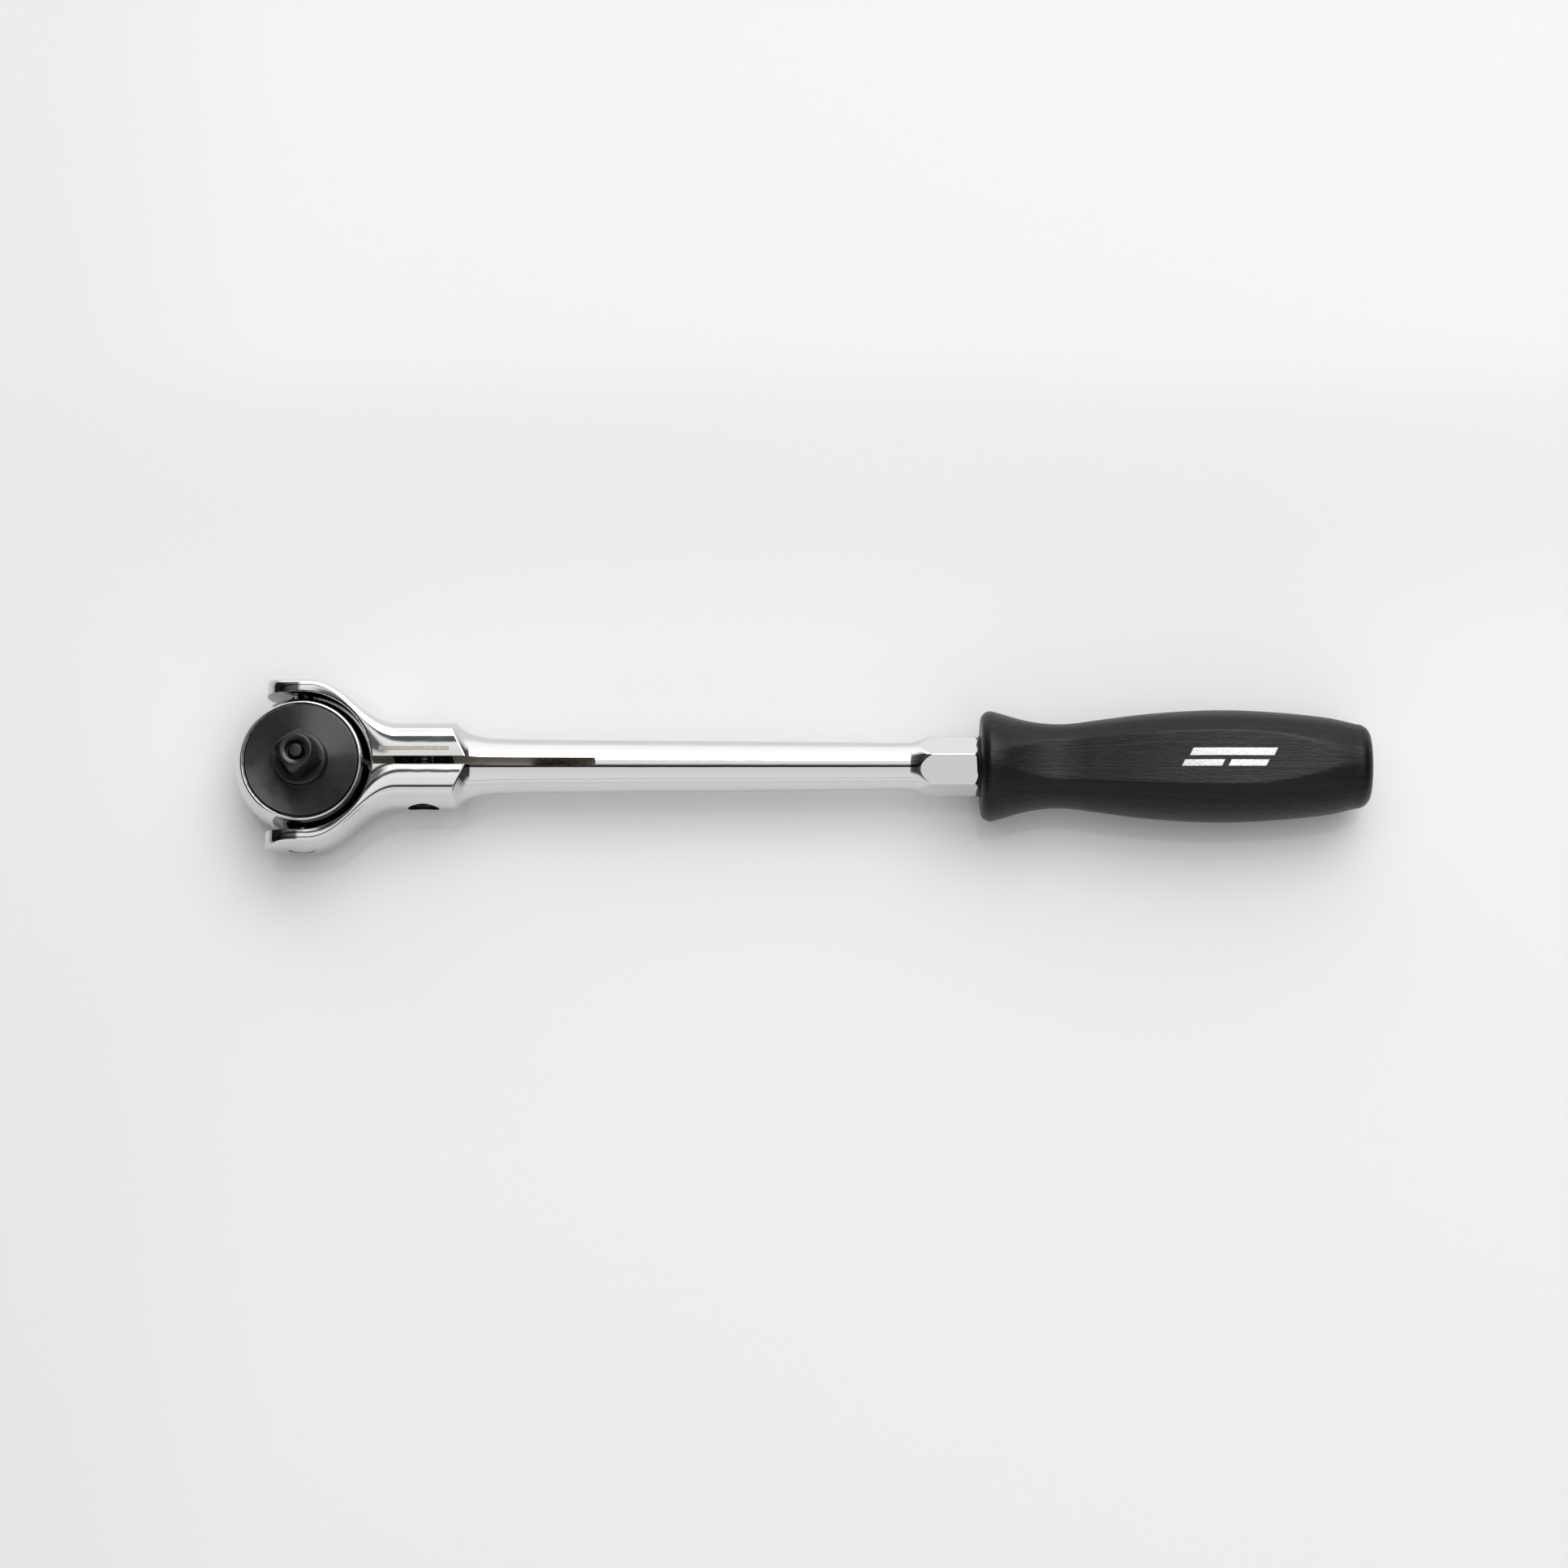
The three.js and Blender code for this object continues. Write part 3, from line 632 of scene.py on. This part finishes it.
# ---- Drive plate, hub and square ----
def drive_plate():
    profile = [
        (4.6, -3.1), (7.9, -3.1, 0.15), (7.9, 4.15), (10.78, 4.15), (10.78, 5.0), (10.5, 5.0),
        (10.5, 6.05, 0.12), (5.25, 6.05), (5.08, 6.09), (5.0, 6.25), (5.0, 8.85, 0.35), (2.6, 8.85),
        (2.6, 2.5), (4.6, 2.5), (4.6, -3.1),
    ]
    return turned("drive_plate", profile, "z", "drive", ("drive_square",), 256)


def square_radius(angle, z):
    """Radius of the drive square at an angle from a flat's normal: flats, round corners, cone at the tip."""
    quarter = (angle + math.pi / 4) % (math.pi / 2) - math.pi / 4
    flat = SQUARE_HALF / np.cos(quarter)
    section = smooth_min(flat, np.full_like(flat, SQUARE_CORNER), 0.12)
    cone = 2.95 + (SQUARE_TIP - z) * 1.59
    return smooth_min(section, np.full_like(flat, cone), 0.14)


def drive_tang():
    columns = 256
    angle = (np.arange(columns) + 0.5) * 2 * math.pi / columns
    heights = np.concatenate([np.linspace(8.4, 14.9, 40), np.linspace(15.0, SQUARE_TIP - 0.01, 34)])
    rings = [axis_points(square_radius(angle, z), z, angle + PAWL_ANGLE, "z") for z in heights]
    inner = [
        (2.85, SQUARE_TIP), (2.02, SQUARE_TIP), (1.93, SQUARE_TIP - 0.05), (1.9, SQUARE_TIP - 0.14),
        (1.9, 13.85), (1.6, 13.85), (1.6, 8.4),
    ]
    rings += [axis_points(np.full(columns, r), z, angle + PAWL_ANGLE, "z") for r, z in inner]
    vertices = np.concatenate(rings)
    faces = grid_faces(len(rings), columns, wrap_rings=True)
    tang = make_piece("drive_tang", vertices, faces, "drive")
    hole = round_cutter(1.1, 0.5, 6, "y", (0, 0, BALL_HEIGHT), 0, 48)
    c, s = math.cos(PAWL_ANGLE), math.sin(PAWL_ANGLE)
    spin = np.array([[c, -s, 0], [s, c, 0], [0, 0, 1]])
    points = np.array([v.co for v in hole.data.vertices]) - SWIVEL
    hole.data.vertices.foreach_set("co", (points @ spin.T + SWIVEL).ravel())
    cut(tang, [hole])
    tang.data.set_sharp_from_angle(angle=math.radians(35))
    return weigh_normals(tang)


def release_parts():
    profile = [
        (0, -10.02), (1.2, -10.05), (2.5, -10.1, 0.1), (3.0, -9.8, 0.15), (3.0, -8.7, 0.1), (1.3, -8.7),
        (1.3, 9.2), (0.8, 9.6), (0.8, 10.6), (1.3, 12.1), (1.3, 15.45), (1.12, 15.7, 0.05), (0, 15.7),
    ]
    button = turned("release_pin", profile, "z", "release", ("release_button",), 96)
    centre = np.array([2.5 * math.cos(BALL_ANGLE), 2.5 * math.sin(BALL_ANGLE), 0])

    def moved(ring, angle, along):
        return ring + centre
    arc = [(1.05 * math.cos(a), BALL_HEIGHT + 1.05 * math.sin(a)) for a in np.linspace(-1.5, 1.5, 30)]
    ball = turned(
        "socket_ball", [(0, 11.3), *arc, (0, 13.4)], "z", "ball", ("detent_ball",), 64, moved)
    return [button, ball]


# ---- Reversing dial ----
def reversing_dial():
    def scalloped(ring, angle, along):
        radius = np.hypot(ring[:, 0], ring[:, 1])
        wide = smooth_step(radius, 6.4, 7.3) * (1 - smooth_step(np.full_like(radius, along), -7.4, -6.9))
        wave = np.clip(np.cos(DIAL_NOTCHES * (angle - PAWL_ANGLE)), -0.2, 1) ** 2
        grow = 1 - 0.06 * wide * wave
        return ring * np.stack([grow, grow, np.ones_like(grow)], axis=-1)
    profile = [
        (3.15, -10.3, 0.12), (3.9, -10.3), (3.95, -10.18), (4.15, -10.18), (4.2, -10.3), (6.9, -10.3, 0.2),
        (7.38, -9.8, 0.2), (7.4, -9.3), (7.4, -8.4), (7.4, -7.6), (7.4, -7.2), (7.4, -6.85), (7.3, -6.4, 0.1),
        (4.4, -6.4), (4.4, 2.3), (1.5, 2.3), (1.5, -2.5), (3.15, -2.5), (3.15, -10.3),
    ]
    return turned(
        "reversing_dial", profile, "z", "selector", ("selector_dial",), 320, scalloped)


# ---- Materials ----
def add(tree, kind, inputs=None, **settings):
    node = tree.nodes.new(kind)
    for key, value in settings.items():
        setattr(node, key, value)
    for key, value in (inputs or {}).items():
        socket = node.inputs[key]
        if isinstance(value, bpy.types.NodeSocket):
            tree.links.new(value, socket)
        else:
            socket.default_value = value
    return node


def maths(tree, operation, a, b=0.0, c=0.0):
    node = add(tree, "ShaderNodeMath", {0: a, 1: b, 2: c}, operation=operation)
    return node.outputs[0]


def vector_maths(tree, operation, a, b=(0, 0, 0)):
    node = add(tree, "ShaderNodeVectorMath", {0: a, 1: b}, operation=operation)
    return node.outputs["Value" if operation in ("LENGTH", "DISTANCE", "DOT_PRODUCT") else "Vector"]


def new_material(name, colour, metallic, roughness, **sockets):
    """A principled material. Returns it with its tree, its shader and its position vector in metres."""
    material = bpy.data.materials.new(name)
    material.use_nodes = True
    tree = material.node_tree
    shader = tree.nodes["Principled BSDF"]
    shader.inputs["Base Color"].default_value = (*colour, 1)
    shader.inputs["Metallic"].default_value = metallic
    shader.inputs["Roughness"].default_value = roughness
    for key, value in sockets.items():
        shader.inputs[key.replace("_", " ")].default_value = value
    where = add(tree, "ShaderNodeTexCoord").outputs["Object"]
    return material, tree, shader, where


def noise(tree, vector, scale, detail=2.0, roughness=0.5):
    node = add(tree, "ShaderNodeTexNoise", {
        "Vector": vector, "Scale": scale, "Detail": detail, "Roughness": roughness})
    return node.outputs["Fac"]


def spread(tree, value, low, high, to_low, to_high):
    node = add(tree, "ShaderNodeMapRange", {
        "Value": value, "From Min": low, "From Max": high, "To Min": to_low, "To Max": to_high})
    return node.outputs["Result"]


def mix_colours(tree, share, first, second):
    node = add(tree, "ShaderNodeMix", {"Factor": share}, data_type="RGBA")
    for index, value in ((6, first), (7, second)):
        if isinstance(value, bpy.types.NodeSocket):
            tree.links.new(value, node.inputs[index])
        else:
            node.inputs[index].default_value = (*value, 1)
    return node.outputs[2]


def bump(tree, shader, height, distance, strength=1.0, below=None):
    inputs = {"Height": height, "Distance": distance, "Strength": strength}
    if below is not None:
        inputs["Normal"] = below
    node = add(tree, "ShaderNodeBump", inputs)
    tree.links.new(node.outputs["Normal"], shader.inputs["Normal"])
    return node.outputs["Normal"]


def chrome_material(name, etched):
    """Bright chrome over a hand-polished forging: a faint waviness, haze and hairline scratches.
    etched adds a plain etched line along the top of the neck."""
    material, tree, shader, where = new_material(name, (0.66, 0.67, 0.672), 1.0, 0.03)
    haze = noise(tree, where, 180.0, 3.0)
    long_way = vector_maths(tree, "MULTIPLY", where, (0.06, 1, 1))
    hairlines = noise(tree, long_way, 5200.0, 2.0, 0.7)
    haze = maths(tree, "ADD", maths(tree, "MULTIPLY", haze, 0.7), maths(tree, "MULTIPLY", hairlines, 0.3))
    rough = spread(tree, haze, 0.3, 0.75, 0.01, 0.06)
    if etched:
        line = SWIVEL + np.array([21.0, 2.2, 0]) * MM
        away = add(tree, "ShaderNodeSeparateXYZ", {
            0: vector_maths(tree, "ABSOLUTE", vector_maths(tree, "SUBTRACT", where, tuple(line)))}).outputs
        along = spread(tree, away["X"], 6.5 * MM, 6.55 * MM, 1, 0)
        across = spread(tree, away["Y"], 0.36 * MM, 0.42 * MM, 1, 0)
        above = spread(tree, away["Z"], 5.5 * MM, 5.6 * MM, 0, 1)
        mask = maths(tree, "MULTIPLY", maths(tree, "MULTIPLY", along, across), above)
        worn = spread(tree, noise(tree, where, 2500.0, 3.0), 0.35, 0.55, 0.6, 1.0)
        mask = maths(tree, "MULTIPLY", mask, worn)
        colour = mix_colours(tree, mask, (0.66, 0.67, 0.672), (0.36, 0.31, 0.26))
        tree.links.new(colour, shader.inputs["Base Color"])
        rough = maths(tree, "MAXIMUM", rough, maths(tree, "MULTIPLY", mask, 0.45))
    tree.links.new(rough, shader.inputs["Roughness"])
    waves = noise(tree, where, 320.0, 1.0)
    soft = bump(tree, shader, waves, 0.00002, 0.5)
    bump(tree, shader, hairlines, 0.0000012, 0.5, soft)
    return material


def ground_material():
    """Walls of the sawn slot: dull steel with saw marks and a brownish tint."""
    material, tree, shader, where = new_material("sawn_steel", (0.6, 0.55, 0.48), 1.0, 0.45)
    streaks = noise(tree, vector_maths(tree, "MULTIPLY", where, (1, 1, 0.25)), 2600.0, 4.0, 0.7)
    colour = mix_colours(tree, spread(tree, streaks, 0.35, 0.65, 0, 1), (0.34, 0.3, 0.255), (0.85, 0.8, 0.72))
    tree.links.new(colour, shader.inputs["Base Color"])
    tree.links.new(spread(tree, streaks, 0.3, 0.7, 0.35, 0.6), shader.inputs["Roughness"])
    bump(tree, shader, streaks, 0.00008)
    return material


def bore_material():
    """Inside of the fork: plated but not polished."""
    material, tree, shader, where = new_material("plated_bore", (0.5, 0.51, 0.515), 1.0, 0.1)
    rings = noise(tree, vector_maths(tree, "MULTIPLY", where, (0.1, 0.1, 1)), 4200.0, 3.0)
    tree.links.new(spread(tree, rings, 0.3, 0.7, 0.05, 0.16), shader.inputs["Roughness"])
    bump(tree, shader, rings, 0.00001)
    return material


def dark_steel_material():
    """Oiled dark spring steel."""
    material, tree, shader, where = new_material("dark_steel", (0.2, 0.2, 0.2), 1.0, 0.25)
    stain = noise(tree, where, 1200.0, 4.0)
    colour = mix_colours(tree, spread(tree, stain, 0.35, 0.65, 0, 1), (0.1, 0.095, 0.09), (0.3, 0.295, 0.285))
    tree.links.new(colour, shader.inputs["Base Color"])
    return material


def hole_material():
    """Drilled holes and the pocket round the screw: steel painted nearly black as painted shade for their
    depth, with random darker and lighter patches.
    """
    material, tree, shader, where = new_material("drilled_steel_painted_shade", (0.08, 0.085, 0.08), 1.0, 0.4)
    grime = noise(tree, where, 1500.0, 4.0)
    share = spread(tree, grime, 0.35, 0.65, 0, 1)
    # Both colours are near-black painted shade for the inside of the holes and the pocket; the noise only
    # varies them at random.
    colour = mix_colours(tree, share, (0.015, 0.016, 0.015), (0.11, 0.115, 0.105))
    tree.links.new(colour, shader.inputs["Base Color"])
    bump(tree, shader, grime, 0.00003)
    return material


def oxide_material(name, rings):
    """Black oxide on turned steel. rings adds the concentric feed marks of the lathe."""
    material, tree, shader, where = new_material(name, (0.026, 0.026, 0.029), 0.6, 0.2)
    mottle = noise(tree, where, 700.0, 5.0, 0.6)
    share = spread(tree, mottle, 0.3, 0.7, 0, 1)
    colour = mix_colours(tree, share, (0.022, 0.022, 0.025), (0.029, 0.029, 0.032))
    tree.links.new(colour, shader.inputs["Base Color"])
    tree.links.new(spread(tree, mottle, 0.3, 0.7, 0.15, 0.21), shader.inputs["Roughness"])
    normal = bump(tree, shader, mottle, 0.000001)
    if rings:
        flat = vector_maths(tree, "MULTIPLY", vector_maths(tree, "SUBTRACT", where, tuple(SWIVEL)), (1, 1, 0))
        distance = vector_maths(tree, "LENGTH", flat)
        wobble = maths(tree, "MULTIPLY", noise(tree, where, 60.0), 0.00006)
        turns = maths(tree, "MULTIPLY", maths(tree, "ADD", distance, wobble), 2 * math.pi / 0.00025)
        ridge = maths(tree, "SINE", turns)
        uneven = spread(tree, noise(tree, flat, 500.0, 2.0), 0.35, 0.65, 0.7, 1.1)
        bump(tree, shader, maths(tree, "MULTIPLY", ridge, uneven), 0.000012, 1.0, normal)
    return material


def grip_material():
    """Satin black plastic with fine lengthways grain that follows the grip's shape."""
    material, tree, shader, where = new_material(
        "satin_black_plastic", (0.007, 0.007, 0.0075), 0.0, 0.3, Specular_IOR_Level=0.22)
    local = vector_maths(tree, "SUBTRACT", where, tuple(SWIVEL))
    round_part = vector_maths(tree, "MULTIPLY", local, (0, 1, 1))
    unit = vector_maths(tree, "NORMALIZE", round_part)
    coarse_at = vector_maths(tree, "ADD", unit, vector_maths(tree, "MULTIPLY", local, (4.0, 0, 0)))
    coarse = noise(tree, coarse_at, 16.0, 3.0, 0.75)
    fine_at = vector_maths(tree, "ADD", unit, vector_maths(tree, "MULTIPLY", local, (11, 0, 0)))
    fine = noise(tree, fine_at, 42.0, 3.0, 0.8)
    speckle = noise(tree, where, 3800.0, 3.0, 0.7)
    grain = maths(tree, "ADD", maths(tree, "MULTIPLY", coarse, 0.5), maths(tree, "MULTIPLY", fine, 0.5))
    shade = spread(tree, grain, 0.42, 0.62, 0, 1)
    colour = mix_colours(tree, shade, (0.002, 0.002, 0.0022), (0.007, 0.007, 0.0075))
    tree.links.new(colour, shader.inputs["Base Color"])
    rough = spread(tree, grain, 0.4, 0.62, 0.36, 0.2)
    rough = maths(tree, "ADD", rough, maths(tree, "MULTIPLY", speckle, 0.08))
    tree.links.new(rough, shader.inputs["Roughness"])
    first = bump(tree, shader, grain, 0.00013, 0.9)
    bump(tree, shader, speckle, 0.00001, 0.5, first)
    return material


def foil_material():
    material, tree, shader, where = new_material("silver_foil", (0.42, 0.43, 0.44), 1.0, 0.25)
    crinkle = noise(tree, where, 2600.0, 4.0, 0.7)
    tree.links.new(spread(tree, crinkle, 0.3, 0.7, 0.16, 0.42), shader.inputs["Roughness"])
    bump(tree, shader, crinkle, 0.00002)
    return material


def steel_material():
    material, tree, shader, where = new_material("spring_steel", (0.42, 0.42, 0.43), 1.0, 0.25)
    brushed = noise(tree, where, 2400.0, 3.0)
    tree.links.new(spread(tree, brushed, 0.3, 0.7, 0.16, 0.34), shader.inputs["Roughness"])
    bump(tree, shader, brushed, 0.000006)
    return material


def floor_material():
    material, tree, shader, where = new_material(
        "pale_floor", (0.72, 0.72, 0.715), 0.0, 0.05, Specular_IOR_Level=0.5)
    tone = noise(tree, where, 4.0, 2.0)
    colour = mix_colours(tree, tone, (0.715, 0.715, 0.71), (0.735, 0.735, 0.731))
    tree.links.new(colour, shader.inputs["Base Color"])
    return material


def coat(piece, *materials):
    """Gives a piece its materials, in the order of its material indices."""
    slots = piece.data.materials
    for index, material in enumerate(materials):
        if index < len(slots):
            slots[index] = material
        else:
            slots.append(material)


# ---- Studio ----
def studio_world():
    """A tent of soft light round the tool: brightest behind, greyer in front, dark at both ends, with
    narrow dark seams and a dark strip a little in front of straight up.

    Each stop is an angle from straight up in degrees, positive towards the front, and a level."""
    world = bpy.data.worlds.new("light_tent")
    bpy.context.scene.world = world
    world.use_nodes = True
    tree = world.node_tree
    background = tree.nodes["Background"]
    direction = add(tree, "ShaderNodeTexCoord").outputs["Generated"]
    parts = add(tree, "ShaderNodeSeparateXYZ", {0: direction}).outputs
    to_front = maths(tree, "MULTIPLY", parts["Y"], -1.0)
    angle = maths(tree, "ARCTAN2", to_front, parts["Z"])
    share = spread(tree, angle, -math.pi / 2, math.pi / 2, 0, 1)
    ramp = add(tree, "ShaderNodeValToRGB", {"Fac": share})
    stops = [
        (-90, 1.35), (-60, 1.5), (-48.6, 1.6), (-48.1, 0.7), (-46.1, 0.7), (-45.6, 1.5), (-16, 1.5),
        (-15.5, 0.12), (-13.6, 0.12), (-13, 1.2), (0, 0.85), (3, 0.5), (5, 0.04), (14, 0.04), (16, 0.86),
        (24, 0.86), (45, 0.95), (67, 0.98), (67.5, 0.5), (69.3, 0.5), (69.8, 1.0), (90, 0.8),
    ]
    elements = ramp.color_ramp.elements
    while len(elements) < len(stops):
        elements.new(0.5)
    for element, (degrees, level) in zip(elements, stops):
        element.position = (degrees + 90) / 180
        level /= 2
        element.color = (level, level, level * 0.995, 1)
    left = maths(
        tree, "MAXIMUM", spread(tree, parts["X"], -0.155, -0.105, 0.0, 1.0),
        spread(tree, parts["X"], -0.7, -0.155, 0.01, 0.14))
    right = spread(tree, parts["X"], 0.55, 0.62, 1.0, 0.06)
    low = spread(tree, parts["Z"], 0.0, 0.06, 1.0, 0.0)
    back = spread(tree, parts["Y"], 0.6, 0.8, 0.0, 1.0)
    front = spread(tree, parts["Y"], -0.75, -0.55, 1.0, 0.0)
    band = maths(tree, "MULTIPLY", left, right)
    band = maths(tree, "MAXIMUM", band, maths(tree, "MULTIPLY", low, 0.5))
    band = maths(tree, "MAXIMUM", band, maths(tree, "MAXIMUM", back, front))
    shaded = add(tree, "ShaderNodeMix", {"Factor": 1.0}, data_type="RGBA", blend_type="MULTIPLY")
    tree.links.new(ramp.outputs["Color"], shaded.inputs[6])
    tree.links.new(band, shaded.inputs[7])
    tree.links.new(shaded.outputs[2], background.inputs["Color"])
    background.inputs["Strength"].default_value = 2.0


def soft_light(name, place_m, aim_m, size, power):
    data = bpy.data.lights.new(name, "AREA")
    data.shape = "RECTANGLE"
    data.size, data.size_y = size
    data.energy = power
    lamp = bpy.data.objects.new(name, data)
    bpy.context.collection.objects.link(lamp)
    lamp.location = place_m
    way = np.array(aim_m) - np.array(place_m)
    lamp.rotation_euler = direction_euler(way)
    lamp.visible_glossy = False
    return lamp


def direction_euler(way):
    return Vector(way).to_track_quat("-Z", "Y").to_euler()


def pale_floor():
    mesh = bpy.data.meshes.new("floor")
    half = 3.0
    corners = [(-half, -half, 0), (half, -half, 0), (half, half, 0), (-half, half, 0)]
    mesh.from_pydata(corners, [], [(0, 1, 2, 3)])
    floor = bpy.data.objects.new("floor", mesh)
    bpy.context.collection.objects.link(floor)
    floor.location.z = -0.0001
    mesh.materials.append(floor_material())
    return floor


def studio_camera():
    """Nearly overhead, tilted 11 degrees towards the front of the tool."""
    target = SWIVEL + np.array([89.7, -3.35, 0]) * MM
    elevation = math.radians(79)
    distance = 0.89
    offset = np.array([0, -math.cos(elevation), math.sin(elevation)]) * distance
    data = bpy.data.cameras.new("camera")
    data.lens = 109.5
    data.sensor_width = 36
    data.clip_end = 20
    camera = bpy.data.objects.new("camera", data)
    bpy.context.collection.objects.link(camera)
    camera.location = target + offset
    camera.rotation_euler = direction_euler(-offset)
    bpy.context.scene.camera = camera


# ---- The scene ----
studio_camera()
studio_world()
soft_light("key", (0.3, 0.62, 1.0), (0.02, 0, 0), (0.9, 0.6), 2.0)
soft_light("fill", (0.25, 0.4, 1.3), (0.1, 0.2, 0), (2.2, 2.0), 18.5)
sheen = soft_light("sheen", (0.55, 1.045, 1.705), (0.55, 0, 0), (1.5, 1.11), 30.0)
sheen.visible_glossy = True
sheen.visible_diffuse = False
sheen.visible_camera = False
# The sheen is meant for the tool, so the glossy floor doesn't mirror it.
unlit = bpy.data.collections.new("without_sheen")
unlit.objects.link(pale_floor())
unlit.collection_objects[0].light_linking.link_state = "EXCLUDE"
sheen.light_linking.receiver_collection = unlit
bpy.context.scene.view_settings.view_transform = "Standard"

chrome = chrome_material("polished_chrome", False)
etched_chrome = chrome_material("etched_chrome", True)
ground = ground_material()
bore = bore_material()
# drilled: near-black steel whose colour is painted shade for the inside of holes and the pocket.
drilled = hole_material()
oxide = oxide_material("black_oxide", False)
turned_oxide = oxide_material("turned_black_oxide", True)
plastic = grip_material()
foil = foil_material()
steel = steel_material()
dark_steel = dark_steel_material()

coat(fork_forging(), etched_chrome, bore, ground, drilled)
for part in (grip_body(), gate_nub(), moulding_flash()):
    coat(part, plastic)
coat(foil_mark(), foil)
for pin in pivot_pins():
    coat(pin, chrome)
coat(cross_screw(), dark_steel)
coat(head_shell(), chrome, drilled)
coat(snap_ring(), dark_steel)
coat(drive_plate(), turned_oxide)
coat(drive_tang(), oxide)
for part, finish in zip(release_parts(), (oxide, steel)):
    coat(part, finish)
coat(reversing_dial(), turned_oxide)

INNER = {
    "tension_washer": steel, "wave_washer": steel, "pawl": oxide, "pawl_pin": steel,
    "selector_plunger": steel, "selector_spring": steel, "selector_ring": steel, "release_spring": steel,
}
for node_name, finish in INNER.items():
    coat(frame["nodes"][node_name], finish)
